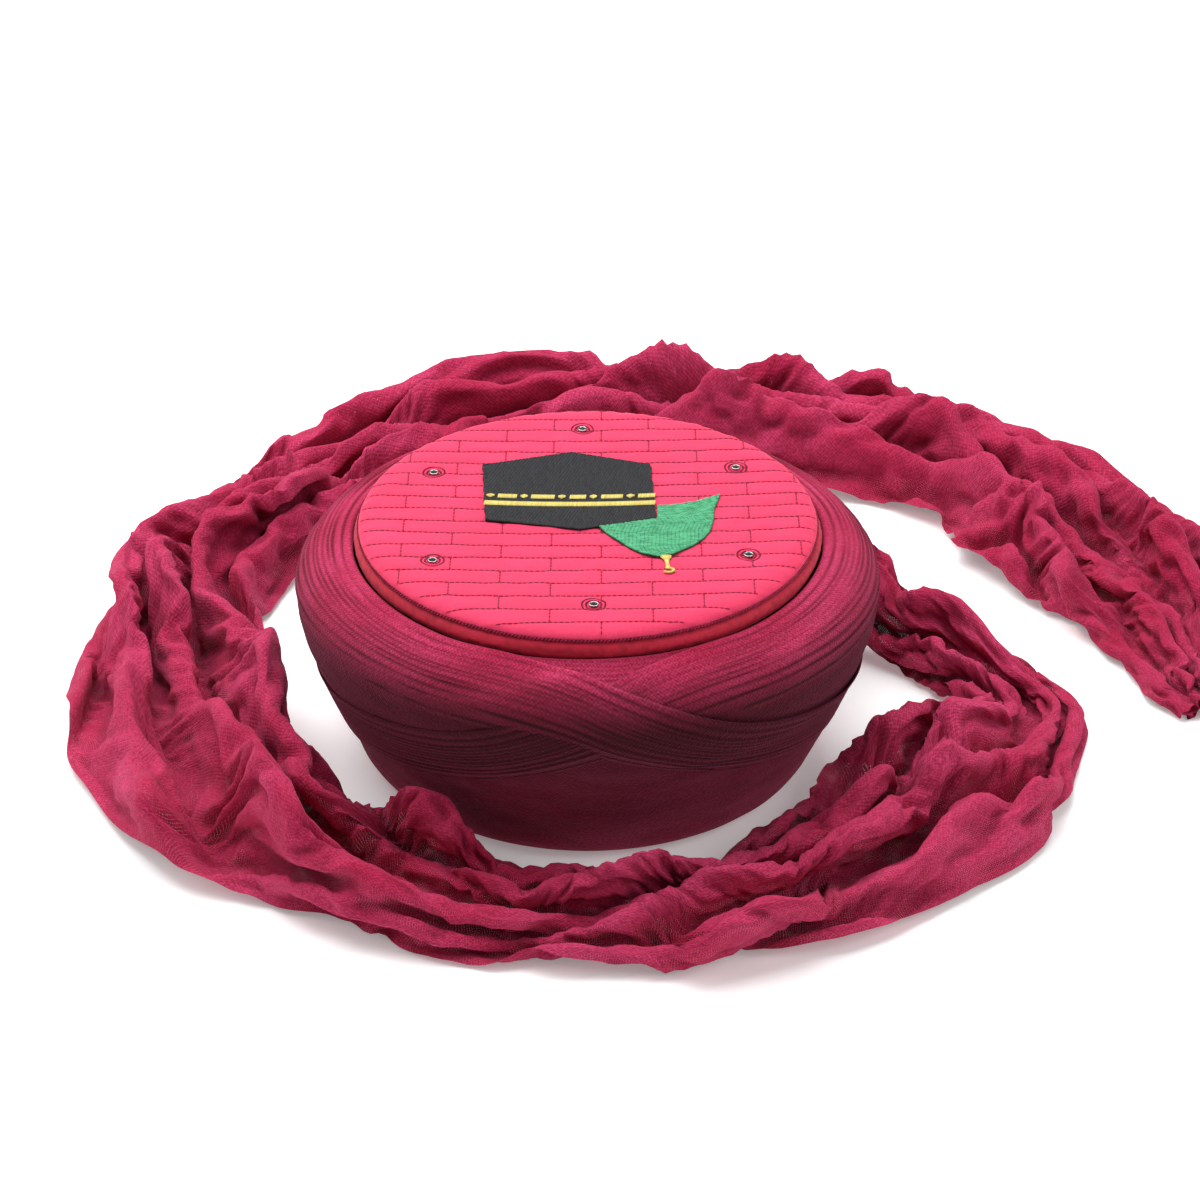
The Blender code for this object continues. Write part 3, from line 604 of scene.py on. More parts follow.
# %% Edge seam
angle = turns(390)
seam = polar(CROWN_REACH + 0.0002, angle, CROWN_TOP - ROLL_DROP - 0.0003)
slant = polar(1.0, angle + math.pi / 2, 0.75)
edge_seam = sewn_piece("edge_seam", [stitches(seam, slant, polar(1.0, angle, 0.0), 0.0023, 0.0009, 0.0009)],
                       red_thread, 22)
print("quilting and edge stitches", (len(quilting.data.vertices) + len(edge_seam.data.vertices)) // len(STRAND))

# %% [markdown]
# Each eyelet is a pressed nickel tube with a rounded flange, inside two rings of red buttonhole stitch. A turned
# profile makes the metal, and the stitches stand across the rings. A dark pad fills each bore to just under the
# flange, because what shows through so small a hole is only the shade in it.

# %% Eyelets
EYELET_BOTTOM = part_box("eyelet_1")[0][2] - CROWN_TOP
profile = np.array([
    (0.00145, 0.00005), (0.00155, 0.00036), (0.00175, 0.00052), (0.00200, 0.00046), (0.00215, 0.00018),
    (0.00210, -0.00005), (0.00200, -0.00015), (0.00195, EYELET_BOTTOM), (0.00140, EYELET_BOTTOM),
    (0.00138, -0.00040)])
for number, spot in enumerate(EYELET_PLACES, 1):
    ring = polar(profile[:, 0], turns(40)[:, None], CROWN_TOP + profile[:, 1]) + (spot[0], spot[1], 0.0)
    metal = grid_mesh("eyelet_ring_%d" % number, ring, eyelet_nickel, around=True, loop=True)
    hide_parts("eyelet_%d" % number)

# %% Eyelet stitches and bores
BORE_RADIUS = 0.00148
lots, bores = [], []
for spot in EYELET_PLACES:
    for reach, count, wide in ((0.0033, 34, 0.0011), (0.0050, 50, 0.0010)):
        turn = turns(count)
        x, y = spot[0] + reach * np.cos(turn), spot[1] + reach * np.sin(turn)
        lots.append(stitches(resting(x, y), polar(1.0, turn + 0.5, 0.0), UP, wide, 0.00042, 0.0004))
    rim = spot + polar(BORE_RADIUS, turns(24), 0.0)[:, :2]
    bores.append(pad(rim, CROWN_TOP - 0.0015, CROWN_TOP + 0.00004, 0.0001))
bore_piece = sewn_piece("eyelet_bores", [], bore_dark, 24, bores)
eyelet_stitches = sewn_piece("eyelet_stitches", lots, red_thread, 23)
print("eyelets", len(EYELET_PLACES))

# %% [markdown]
# The embroidery is a common traditional ornament: a draped black cube with two gold bands, and a green dome with
# a gold finial. Large areas are filled with rows of stitches that start half a stitch further on in every second
# row, and the narrow gold bands are satin stitch, laid across the band. A filled outline is worked out row by
# row: where the row's line crosses the outline, stitches run between the crossings. A low pad of the same form
# lies under them, so that no cloth shows between two threads.

# %% Filled outlines
def inside_spans(outline, level):
    """Where a level line crosses an outline: the spans of x between crossings, in order."""
    after = np.roll(outline, -1, axis=0)
    crosses = (outline[:, 1] <= level) != (after[:, 1] <= level)
    share = (level - outline[crosses, 1]) / (after[crosses, 1] - outline[crosses, 1])
    x = np.sort(outline[crosses, 0] + share * (after[crosses, 0] - outline[crosses, 0]))
    return x.reshape(-1, 2)


def fill(outline, level, pitch, length, turned=0.0):
    """Fill stitches: spans of level rows cut into stitches of one length, each row shifted along."""
    cos, sin = math.cos(turned), math.sin(turned)
    back = np.array([[cos, sin], [-sin, cos]])
    flat = outline @ back.T
    rows = np.arange(flat[:, 1].min() + pitch / 2, flat[:, 1].max(), pitch)
    centres, lengths = [], []
    for number, height in enumerate(rows):
        for left, right in inside_spans(flat, height):
            shift = (0.37 * number % 1.0) * length
            cuts = np.arange(left - shift, right + length, length)
            starts, ends = np.maximum(cuts[:-1], left), np.minimum(cuts[1:], right)
            kept = ends - starts > 0.0004
            centres.append(np.stack([(starts + ends)[kept] / 2, np.full(kept.sum(), height)], axis=-1))
            lengths.append((ends - starts)[kept])
    centres, lengths = np.concatenate(centres) @ back, np.concatenate(lengths)
    centres = np.column_stack([centres, np.full(len(centres), level)])
    return stitches(centres, (cos, sin, 0.0), UP, lengths * 1.04, pitch * 1.5, pitch * 1.1)


# %% Black and green patches
THREAD_FOOT, THREAD_HEAD = (corner[2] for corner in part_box("embroidery_cube"))
THREAD_LEVEL = THREAD_HEAD - 0.0001
PAD_HEAD = THREAD_HEAD - 0.0002
CUBE = np.array([(-0.0478, 0.0427), (-0.0076, 0.0548), (0.0283, 0.0430), (0.0302, -0.0068),
                 (-0.0033, -0.0164), (-0.0451, -0.0078)])
DOME_EDGE = np.array([
    (0.0050, -0.0140), (0.0085, -0.0205), (0.0137, -0.0268), (0.0180, -0.0325), (0.0233, -0.0372),
    (0.0304, -0.0400), (0.0370, -0.0381), (0.0460, -0.0306), (0.0513, -0.0235), (0.0540, -0.0174),
    (0.0556, -0.0069), (0.0561, 0.0020), (0.0593, 0.0152), (0.0476, 0.0083), (0.0381, 0.0055),
    (0.0307, 0.0048), (0.0307, -0.0070)])


def motif(name, lots, pads, finish, seed, node):
    """A piece of embroidery that stands for one of the raised solids."""
    made = sewn_piece(name, lots, finish, seed, pads)
    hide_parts(node)
    return made


cube = motif("cube_patch", [fill(CUBE, THREAD_LEVEL, 0.00052, 0.0042, math.radians(90))],
             [pad(CUBE, THREAD_FOOT, PAD_HEAD)], black_thread, 31, "embroidery_cube")
dome = motif("dome_patch", [fill(DOME_EDGE, THREAD_LEVEL, 0.00056, 0.0034, math.radians(4))],
             [pad(DOME_EDGE, THREAD_FOOT, PAD_HEAD)], green_thread, 32, "embroidery_dome")
print("patches", len(cube.data.polygons) + len(dome.data.polygons), "faces")

# %% Gold bands
GOLD_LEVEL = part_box("embroidery_belt")[0][2] + 0.0002
BELT_PLACES = np.linspace(-0.0458, 0.0298, 190)
BELT_Y, BELT_WIDE = 0.0067, 0.0038
MARKS_Y, DASH_WIDE = 0.0133, 0.0034
LOZENGES = np.array([-0.0434, -0.0284, -0.0115, 0.0025, 0.0190])
LOZENGE_HALF, LOZENGE_WIDE = 0.0017, 0.0036


def sag(x):
    """How far a band hangs at x, as cloth does between the cube's front corners."""
    return 0.0016 * (1 - ((x + 0.0080) / 0.0378) ** 2)


def satin(x, middle, wide, level=GOLD_LEVEL):
    """Satin stitches across a hanging band: each is as long as the band is wide there, and leans a little."""
    places = np.column_stack([x, middle - sag(x), np.full(len(x), level)])
    return stitches(places, (0.10, 1.0, 0.0), UP, wide, 0.00062, 0.0005)


motif("gold_belt", [satin(BELT_PLACES, BELT_Y, BELT_WIDE)], [], gold_thread, 33, "embroidery_belt")
away = np.abs(BELT_PLACES[:, None] - LOZENGES).min(axis=1)
dash, lozenge = BELT_PLACES[away > 2 * LOZENGE_HALF], BELT_PLACES[away < LOZENGE_HALF]
lozenge_wide = LOZENGE_WIDE - 1.5 * away[away < LOZENGE_HALF]
motif("gold_marks", [satin(dash, MARKS_Y, DASH_WIDE), satin(lozenge, MARKS_Y, lozenge_wide, GOLD_LEVEL + 0.0001)],
      [], gold_thread, 34, "embroidery_marks")
print("lozenges", len(LOZENGES))

# %% Gold finial
rows = np.linspace(0, 1, 34)
post_wide = 0.0018 + 0.0032 * bell(rows, 0.28) + 0.0006 * bell(rows - 1, 0.15)
post_places = np.column_stack([0.0339 + 0.0008 * rows, -0.0396 - rows * 0.0108, 0 * rows + THREAD_LEVEL])
post = stitches(post_places, (1.0, 0.08, 0.0), UP, post_wide, 0.0006, 0.0006)
turn = np.linspace(-2.4, 2.0, 22)
hook_places = np.column_stack([0.0348 + 0.0023 * np.cos(turn), -0.0519 + 0.0017 * np.sin(turn),
                               0 * turn + THREAD_LEVEL])
hook = stitches(hook_places, polar(1.0, turn, 0.0), UP, 0.0013, 0.0006, 0.0006)
motif("gold_finial", [post, hook], [], gold_thread, 35, "embroidery_finial")
print("finial", len(rows) + len(turn), "stitches")

# %% [markdown]
# The piping is a strip of the same cotton on the bias, rolled around a cord. It is a ring with an oval section,
# and because the strip is cut slantwise, its fine wrinkles lean along it.

# %% Piping
low_corner, high_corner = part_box("crown_piping")
PIPING_OUT = high_corner[0]
PIPING_HALF_WIDE = 0.0043
PIPING_HALF_HIGH = (high_corner[2] - low_corner[2]) / 2 * 1.12
PIPING_LEVEL = (high_corner[2] + low_corner[2]) / 2
along, girth = turns(600)[:, None], turns(36)[None, :]
metres = along * PIPING_OUT
wrinkle = 0.00010 * drift(41, metres / 0.006, girth / 2.2 + metres / 0.012)
wrinkle = wrinkle + 0.00012 * drift(42, metres / 0.045, girth / 3)
reach = PIPING_OUT - PIPING_HALF_WIDE + (PIPING_HALF_WIDE + wrinkle) * np.cos(girth)
tube = polar(reach, along, PIPING_LEVEL + (PIPING_HALF_HIGH + wrinkle) * np.sin(girth))
# The mark paints shade into the hollows of the wrinkles.
piping = grid_mesh("piping_roll", tube, piping_cotton, around=True, loop=True,
                   marks={"recess_shade": np.clip(-wrinkle / 0.0004, 0, 0.5)})
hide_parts("crown_piping")
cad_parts["crown_side"].data.materials[0] = cap_cotton
print("piping", len(piping.data.polygons), "faces")

# %% [markdown]
# The winding is many turns of muslin. Only its outside shows, so it is built as three shells: the wound body,
# the right wrap over it and the left wrap over both. Each is a profile carried around the hat, from the foot,
# out to the shoulder and in to the piping, and the pleats are a saw-tooth across it: a pleat rises slowly to its
# folded upper edge and drops at once behind it. The lines wander a little as they go around. Below the shoulder
# the turns get painted shade, where they face away from the lamp, by a table over the profile's length.

# %% Winding profile
PROFILE = np.array([
    (0.09529, 0.00000), (0.10266, 0.00574), (0.10870, 0.01825), (0.11567, 0.03442), (0.12224, 0.05111),
    (0.12780, 0.06623), (0.13013, 0.07927), (0.12802, 0.08866), (0.12147, 0.09627), (0.11226, 0.10138),
    (0.10454, 0.10430)])
spans = np.hypot(*np.diff(PROFILE, axis=0).T)
PROFILE_LENGTH = spans.sum()
PROFILE_SHARES = np.concatenate([[0.0], np.cumsum(spans)]) / PROFILE_LENGTH
WOUND_TURNS = 540
BEARINGS = np.arange(WOUND_TURNS)[:, None] * 360 / WOUND_TURNS
print("from foot to lip", round(PROFILE_LENGTH * 1000), "mm of cloth")


def wound(share, offset):
    """Points around the hat: the profile at a share of its length, moved out along its normal by offset."""
    here = curve(PROFILE_SHARES, PROFILE, share)
    along = curve(PROFILE_SHARES, PROFILE, share + 0.004) - curve(PROFILE_SHARES, PROFILE, share - 0.004)
    along /= np.linalg.norm(along, axis=-1, keepdims=True)
    reach = here[..., 0] + along[..., 1] * offset
    level = here[..., 1] - along[..., 0] * offset
    return polar(reach, np.radians(BEARINGS), np.maximum(level, 0.0))


def wound_cloth(share):
    """The cloth's map around the hat: metres around at the widest, and metres up the profile."""
    rows = np.arange(WOUND_TURNS + 1)[:, None] * 2 * math.pi * PROFILE[:, 0].max() / WOUND_TURNS + 0 * share[:1]
    ups = np.concatenate([share, share[:1]]) * PROFILE_LENGTH
    return np.stack([rows, ups], axis=-1)


def round_drift(seed, size, share, up):
    """Smooth noise on the winding, the same after a full turn: lumps size metres around and up metres high."""
    turn = np.radians(BEARINGS)
    radius = PROFILE[:, 0].max()
    return drift(seed, radius * np.cos(turn) / size, radius * np.sin(turn) / size, share * PROFILE_LENGTH / up)


def saw(phase, drop=0.16):
    """A pleat across its share: a slow rise to its folded edge and a fall over the last part."""
    phase = phase - np.floor(phase)
    return np.where(phase < 1 - drop, phase / (1 - drop), (1 - phase) / drop)


def crease(phase, width):
    """1 along the line where one pleat ends and the next begins, fading within width."""
    phase = phase - np.floor(phase)
    return bell(np.minimum(phase, 1 - phase), width)


# Painted shade by share of the profile: the turns below the shoulder face away from the lamp.
SHADE = np.array([(0.0, 0.52), (0.15, 0.60), (0.25, 0.70), (0.40, 0.85), (0.52, 0.93), (0.65, 0.97), (0.71, 0.82),
                  (0.76, 0.52), (0.81, 0.22), (0.87, 0.0)])
FRONT_SHIFT = 0.06


def shade_of(share):
    """How much shade is painted on the turns below the shoulder, which face away from the lamp: a table over the
    profile.

    It is read a little lower towards the front, so that the painted shade reaches higher there."""
    front = np.clip(-np.sin(np.radians(BEARINGS)), 0, 1)
    return np.interp(share - FRONT_SHIFT * front * step(share / 0.3), SHADE[:, 0], SHADE[:, 1])


# %% [markdown]
# The wound body shows in the notch between the two wraps, as level pleats stacked up to the piping, and below
# them, where the cloth is smoother: a few long shallow folds that slant around the foot. Its inner wall follows
# the outer one a finger's breadth further in, so that the body is a shell of cloth around the cap.

# %% Wound body
NOTCH_FROM, NOTCH_PITCH, NOTCH_DEPTH = 0.835, 0.019, 0.0010
FLANK_DEPTH, FLANK_RIPPLE = 0.0005, 0.0002
INNER_WALL = np.array([
    (PIPING_OUT + 0.0003, 0.1000), (0.1150, 0.0920), (0.1180, 0.0790), (0.1120, 0.0560), (0.1050, 0.0350),
    (0.0990, 0.0160), (0.0937, 0.0)])
INNER_MAP = np.linspace(1.03, 1.95, len(INNER_WALL))[None, :] + 0 * BEARINGS
body_share = np.concatenate([np.linspace(0, 0.80, 62), np.linspace(0.80, 1.0, 46)[1:]])[None, :] + 0 * BEARINGS
lines = (body_share - NOTCH_FROM) / NOTCH_PITCH + 0.30 * round_drift(51, 0.16, body_share, 0.05)
high = step((body_share - 0.82) / 0.03)
flank_phase = 5.0 * body_share + 3 * BEARINGS / 360 + 0.35 * round_drift(52, 0.10, body_share, 0.05)
flank = step((body_share - 0.03) / 0.08) * (1 - high)
depth = high * (NOTCH_DEPTH * (1 - saw(lines))) + flank * FLANK_DEPTH * (1 - saw(flank_phase, 0.35))
depth = depth + flank * FLANK_RIPPLE * (1 + round_drift(53, 0.035, body_share, 0.012))
# Painted shade in the creases of the notch's pleats and of the flank's folds.
recess_shade = np.clip(high * (0.20 + 0.60 * crease(lines, 0.16)) + flank * crease(flank_phase, 0.10) * 0.25, 0, 1)
outer = wound(body_share, -depth)
inner = polar(INNER_WALL[:, 0], np.radians(BEARINGS), INNER_WALL[:, 1])
# The inner wall gets painted shade too.
recess_shades = np.concatenate([recess_shade, np.full(INNER_MAP.shape, 0.6)], axis=1)
shades = np.concatenate([shade_of(body_share), np.zeros(INNER_MAP.shape)], axis=1)
closed_map = wound_cloth(np.concatenate([body_share, INNER_MAP, body_share[:, :1] + 2.0], axis=1))
body = grid_mesh("winding_body", np.concatenate([outer, inner], axis=1), muslin_wound, closed_map,
                 around=True, loop=True, marks={"recess_shade": recess_shades, "shade": shades})
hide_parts("winding_base")
print("wound body", len(body.data.polygons), "faces")

# %% [markdown]
# The two wraps cross in front. Each is a band whose edges climb from low on one side to the piping on the other,
# and one is the mirror of the other. A band has twelve pleats of different widths that lie along it, so they fan
# out where it is wide. Its lower edge sinks into the turns below, and where it runs low it has no thickness of
# its own. The left band goes over the right one, lifted by its thickness where they cross.

# %% Wraps
WRAP_EDGES = np.array([
    (-180, 1.000, 0.62), (-150, 1.000, 0.66), (-125, 0.995, 0.68), (-103, 0.985, 0.66), (-92, 0.935, 0.62),
    (-85, 0.880, 0.57), (-75, 0.800, 0.50), (-62, 0.705, 0.41), (-47, 0.630, 0.33), (-30, 0.570, 0.25),
    (-10, 0.500, 0.17), (15, 0.460, 0.13), (40, 0.500, 0.15), (62, 0.600, 0.23), (82, 0.760, 0.34),
    (98, 0.890, 0.44), (115, 0.980, 0.52), (145, 1.000, 0.59)])
CROSSING = -86.0
WRAP_THICK, EDGE_THICK = 0.0014, 0.0003
WRAP_GAP, SINK, SKIN = 0.0003, 0.0017, 0.0002
RISING_SHARE = 0.40
SHOULDER = 0.011
PLEAT_DEPTH = 0.0011
CREASE_WIDTH = 0.0007
INNER_COLUMNS = [-1, 74, 52, 38, 28, 18, 9, 0]
PLEAT_EDGES = np.array([0.0, 0.19, 0.33, 0.41, 0.50, 0.545, 0.61, 0.645, 0.70, 0.755, 0.80, 0.90, 1.0])


def wrap_edges(mirrored):
    """Upper and lower edge of a wrap at every bearing, as shares of the profile."""
    turned = 2 * CROSSING - BEARINGS if mirrored else BEARINGS
    turned = (turned + 180) % 360 - 180
    keys = np.concatenate([WRAP_EDGES[-3:, 0] - 360, WRAP_EDGES[:, 0], WRAP_EDGES[:3, 0] + 360])
    values = np.concatenate([WRAP_EDGES[-3:, 1:], WRAP_EDGES[:, 1:], WRAP_EDGES[:3, 1:]])
    read = curve(keys, values, turned)
    return np.minimum(read[..., 0], 1.0), read[..., 1]


def covered(share, mirrored, margin):
    """1 where the other wrap lies, fading out over margin beyond its edges."""
    top, bottom = wrap_edges(mirrored)
    return step((share - bottom + 2 * margin) / margin) * step((top + 2 * margin - share) / margin)


def fullness_of(top):
    """How full a wrap is: 0 where its upper edge is low on the profile, and 1 where it is high."""
    return step((top - 0.48) / 0.26)


# %% Pleats of a wrap
def wrap_lift(across, share, top, mirrored, over):
    """How far a wrap's inner face stands off the wound body: it sinks at the lower edge, bridges the shoulder as a
    chord does, by slant squared over eight radii, and climbs over the other wrap."""
    slant = (np.roll(share, -11, axis=0) - np.roll(share, 11, axis=0)) / 4 * PROFILE_LENGTH
    bridge = 0.5 * slant ** 2 / (8 * SHOULDER)
    rising = step(across / RISING_SHARE)
    lift = WRAP_GAP * rising - SINK * (1 - rising) + bridge * fullness_of(top) * rising
    if over:
        other = fullness_of(wrap_edges(not mirrored)[0])
        lift = lift + rising * covered(share, not mirrored, 0.08) * other * (WRAP_THICK + WRAP_GAP + bridge.max())
    return lift


def wrap_pleats(across, top, bottom, seed):
    """The pleats' height over the inner face, and how much shade is painted on each point for lying in a crease."""
    full = fullness_of(top)
    wander = 0.016 * round_drift(seed, 0.20, across, 0.10) + 0.002 * round_drift(seed + 1, 0.07, across, 0.05)
    phase = np.interp(across + wander * step(across * 8) * step((1 - across) * 8), PLEAT_EDGES,
                      np.arange(len(PLEAT_EDGES)))
    pleat_wide = np.diff(PLEAT_EDGES)[np.clip(phase.astype(int), 0, len(PLEAT_EDGES) - 2)]
    deep = PLEAT_DEPTH * np.clip(pleat_wide / 0.12, 0.45, 1.0)
    edge = np.minimum(step(across / RISING_SHARE), step((1 - across) / 0.03))
    puff = 0.0002 * round_drift(seed + 2, 0.06, across, 0.018)
    height = EDGE_THICK + edge * full * (WRAP_THICK - EDGE_THICK - deep * (1 - saw(phase, 0.10)) + puff)
    # Painted shade along the creases between pleats, weaker where the wrap is thin.
    crease_shade = crease(phase, np.clip(CREASE_WIDTH / (pleat_wide * (top - bottom) * PROFILE_LENGTH), 0.04, 0.30))
    crease_shade = crease_shade * (0.25 + 0.75 * full) * (0.8 + 0.4 * round_drift(seed + 4, 0.05, across, 0.03))
    return height, np.clip(crease_shade, 0, 1)


# %% Both wraps
def add_wrap(name, node, mirrored, over, seed):
    """A band from its lower to its upper edge: pleats as a saw-tooth on its outside, and a plain inside."""
    top, bottom = wrap_edges(mirrored)
    across = np.linspace(0, 1, 100)[None, :] + 0 * BEARINGS
    share = bottom + (top - bottom) * across
    lift = wrap_lift(across, share, top, mirrored, over)
    height, crease_shade = wrap_pleats(across, top, bottom, seed)
    inner_share = share[:, INNER_COLUMNS]
    points = np.concatenate([wound(share, lift + height), wound(inner_share, lift[:, INNER_COLUMNS] - SKIN)], axis=1)
    # The inner face gets painted shade.
    recess_shade = np.concatenate([crease_shade, 0.6 + 0 * inner_share], axis=1)
    shares = np.concatenate([share, 2 - inner_share, share[:, :1] + 2], axis=1)
    # The creases on the outside get more of the lower turns' painted shade.
    shade = np.clip(shade_of(np.minimum(shares[:, :-1], 1.0)) + 0.22 * recess_shade * (shares[:, :-1] < 1.0), 0, 1)
    made = grid_mesh(name, points, muslin_wound, wound_cloth(shares), around=True, loop=True,
                     marks={"recess_shade": recess_shade, "shade": shade})
    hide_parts(node)
    float((top - bottom).mean() * PROFILE_LENGTH)
    return made


right_wrap = add_wrap("wrap_right_pleats", "wrap_right", True, False, 61)
left_wrap = add_wrap("wrap_left_pleats", "wrap_left", False, True, 71)
print("wraps", len(right_wrap.data.polygons) + len(left_wrap.data.polygons), "faces")

# %% [markdown]
# The free end is one wide sheet of the same muslin, bundled lengthwise and laid around the hat. It leaves the
# winding standing on its edge at the right rear, falls over, runs around the front, the left and the back, and
# ends in a ragged tip at the right. The course is a table: bearing, reach from the winding, lift, width,
# height, roll, and how far its pleats lean away from the hat.

# %% Course of the free end
TAIL_ROWS = np.array([
    (62, 0.000, 1.05, 0.68, 0.26, -86, 0.4), (47, -0.006, 0.98, 0.70, 0.32, -80, 0.4),
    (33, 0.039, 0.82, 0.74, 0.45, -62, 0.4), (21, 0.187, 0.46, 0.76, 0.75, -36, 0.4),
    (12, 0.372, 0.12, 0.70, 1.10, -9, 0.4), (4, 0.483, 0.00, 0.54, 1.30, 0, 0.3),
    (-5, 0.439, 0.00, 0.70, 1.20, 0, 0.2), (-15, 0.314, 0.00, 0.98, 1.00, 0, 0.2),
    (-30, 0.230, 0.00, 1.08, 1.05, 0, 0.3), (-47, 0.195, 0.00, 0.98, 0.85, 0, 0.5),
    (-62, 0.182, 0.00, 0.86, 1.00, 0, 0.6), (-78, 0.172, 0.00, 0.76, 1.10, 0, 0.6),
    (-94, 0.180, 0.00, 0.72, 0.95, 0, 0.5), (-110, 0.192, 0.00, 0.76, 1.05, 0, 0.5),
    (-126, 0.173, 0.00, 0.90, 0.85, 0, 0.5), (-140, 0.190, 0.00, 1.00, 1.10, 0, 0.3),
    (-153, 0.200, 0.00, 1.08, 0.95, 0, 0.0), (-166, 0.212, 0.00, 1.08, 1.20, 0, -0.2),
    (-180, 0.262, 0.00, 1.02, 1.00, 0, -0.3), (-193, 0.345, 0.00, 0.98, 1.25, 0, -0.2),
    (-205, 0.500, 0.00, 0.98, 1.05, 0, 0.1), (-217, 0.614, 0.00, 0.96, 1.20, 0, 0.2),
    (-230, 0.671, 0.00, 0.94, 0.95, 0, 0.2), (-243, 0.758, 0.00, 0.94, 1.15, 0, 0.2),
    (-256, 0.871, 0.00, 0.97, 1.05, 0, 0.1), (-270, 0.958, 0.00, 1.00, 1.25, 0, 0.0),
    (-284, 0.996, 0.00, 1.02, 1.05, 0, 0.1), (-298, 1.014, 0.00, 1.02, 1.15, 0, 0.2),
    (-311, 1.046, 0.00, 1.03, 0.95, 0, 0.2), (-323, 1.033, 0.00, 1.03, 1.10, 0, 0.0),
    (-334, 0.996, 0.00, 0.94, 0.90, 0, -0.1), (-344, 0.952, 0.00, 0.66, 0.85, 0, -0.1),
    (-352, 0.939, 0.00, 0.40, 0.60, 0, 0.0), (-359, 0.964, 0.00, 0.20, 0.42, 0, 0.0)])
TAIL_SEAT = 0.1357
TAIL_REACH, TAIL_LIFT, TAIL_WIDE, TAIL_HIGH = 0.16, 0.06, 0.09, 0.028
STATIONS, ACROSS = 248, 48


def tail_course(rows):
    """Centres near the floor, unit vectors across and up the bundle, its width and its lean, at row numbers."""
    bearing, reach, lift, wide, high, roll, lean = curve(np.arange(len(TAIL_ROWS)), TAIL_ROWS, rows).T
    turn, roll = np.radians(bearing), np.radians(roll)
    radius = TAIL_SEAT + reach * TAIL_REACH + high * TAIL_HIGH * np.abs(np.sin(roll))
    centre = polar(radius, turn, np.maximum(lift, 0) * TAIL_LIFT)
    ahead = np.gradient(centre, axis=0) * (1, 1, 0)
    ahead /= np.linalg.norm(ahead, axis=1, keepdims=True)
    outward = np.stack([-ahead[:, 1], ahead[:, 0], 0 * roll], axis=-1)
    upward = np.array([0.0, 0.0, 1.0])
    flat, stand = np.cos(roll)[:, None], np.sin(roll)[:, None]
    return (centre, outward * flat - upward * stand, outward * stand + upward * flat,
            wide[:, None] * TAIL_WIDE, lean[:, None])


rows = np.linspace(0, len(TAIL_ROWS) - 1, 3000)
walked = np.linalg.norm(np.diff(tail_course(rows)[0], axis=0), axis=1)
walked = np.concatenate([[0.0], np.cumsum(walked)])
TAIL_LENGTH = walked[-1]
along = np.linspace(0, TAIL_LENGTH, STATIONS)
centre, outward, upright, wide, lean = tail_course(np.interp(along, walked, rows))
print("the free end is", round(TAIL_LENGTH, 3), "m long")

# %% [markdown]
# The bundle starts as loose upright pleats that run along it. A table gives how many there are and how full they
# are, every so many metres along, and their place and strength drift. They die down at the two edges, so that no
# flap stands up there. Each section is as high as it must be to hold its share of cloth: the height is found by
# halving an interval until the folded line is as long as the sheet is wide. The same number of points is then
# laid on it at even steps.

# %% Upright pleats
TAIL_FLAT = 0.30
PLEATS = np.array([(0.0, 3.0, 0.80), (0.25, 3.2, 0.80), (0.70, 3.6, 0.86), (0.95, 5.0, 1.0), (1.7, 5.0, 1.0)])
PLEAT_SPREAD = 0.82
PLEAT_LEAN = 0.8
EDGE_SHARE = 0.12
HIGHEST_PLEAT = 0.12
FIRST_LEVEL = 0.004


def at_steps(lengths, values, count):
    """Values of one folded line, read at even steps of its length."""
    return np.interp(np.linspace(0, lengths[-1], count), lengths, values)


v, u = np.linspace(0, 1, 600)[None, :], along[:, None]
pleats, fullness = curve(PLEATS[:, 0], PLEATS[:, 1:], along).T[..., None]
phase = pleats * (v - 0.5) + 0.55 * drift(83, u / 0.34, v / 1.1) + 0.25 * drift(84, u / 0.12, v / 0.6)
edges = step(v / EDGE_SHARE) * step((1 - v) / EDGE_SHARE)
strength = (0.2 + 0.8 * edges) * (1.0 + 0.45 * drift(85, u / 0.16, v / 0.35))
rise = strength * (0.5 + 0.5 * np.sin(2 * math.pi * phase))
slope = PLEAT_LEAN * (lean + 0.35 * drift(86, u / 0.20, v / 0.7))
cloth_width = TAIL_FLAT * fullness * np.clip(wide / 0.085, 0.50, 1.12)
low, high = 0 * u, 0 * u + HIGHEST_PLEAT
for _ in range(22):
    height = (low + high) / 2
    length = np.hypot(np.diff((v - 0.5) * wide * PLEAT_SPREAD + slope * rise * height, axis=1),
                      np.diff(rise * height, axis=1)).sum(axis=1, keepdims=True)
    low, high = np.where(length < cloth_width, height, low), np.where(length < cloth_width, high, height)
over = (v - 0.5) * wide * PLEAT_SPREAD + slope * rise * height
over = over - over.mean(axis=1, keepdims=True)
rise = rise * height + FIRST_LEVEL
lengths = np.cumsum(np.hypot(np.diff(over, axis=1), np.diff(rise, axis=1)), axis=1)
lengths = np.concatenate([0 * u, lengths], axis=1)
over = np.stack([at_steps(*line, ACROSS) for line in zip(lengths, over)])[..., None]
rise = np.stack([at_steps(*line, ACROSS) for line in zip(lengths, rise)])[..., None]
bundle = centre[:, None] + outward[:, None] * over + upright[:, None] * rise


def kept_clear(grid, floor, hat):
    """Points lifted to the floor's level and pushed out of the winding, by the two given margins."""
    grid = grid.copy()
    grid[..., 2] = np.maximum(grid[..., 2], floor)
    wall = np.interp(grid[..., 2], PROFILE[:, 1], PROFILE[:, 0]) + hat
    grid[..., :2] *= np.maximum(wall / np.hypot(grid[..., 0], grid[..., 1]), 1.0)[..., None]
    return grid


bundle = kept_clear(bundle, 0.003, 0.009)
print("pleats up to", round(float(height.max()) * 1000), "mm high")

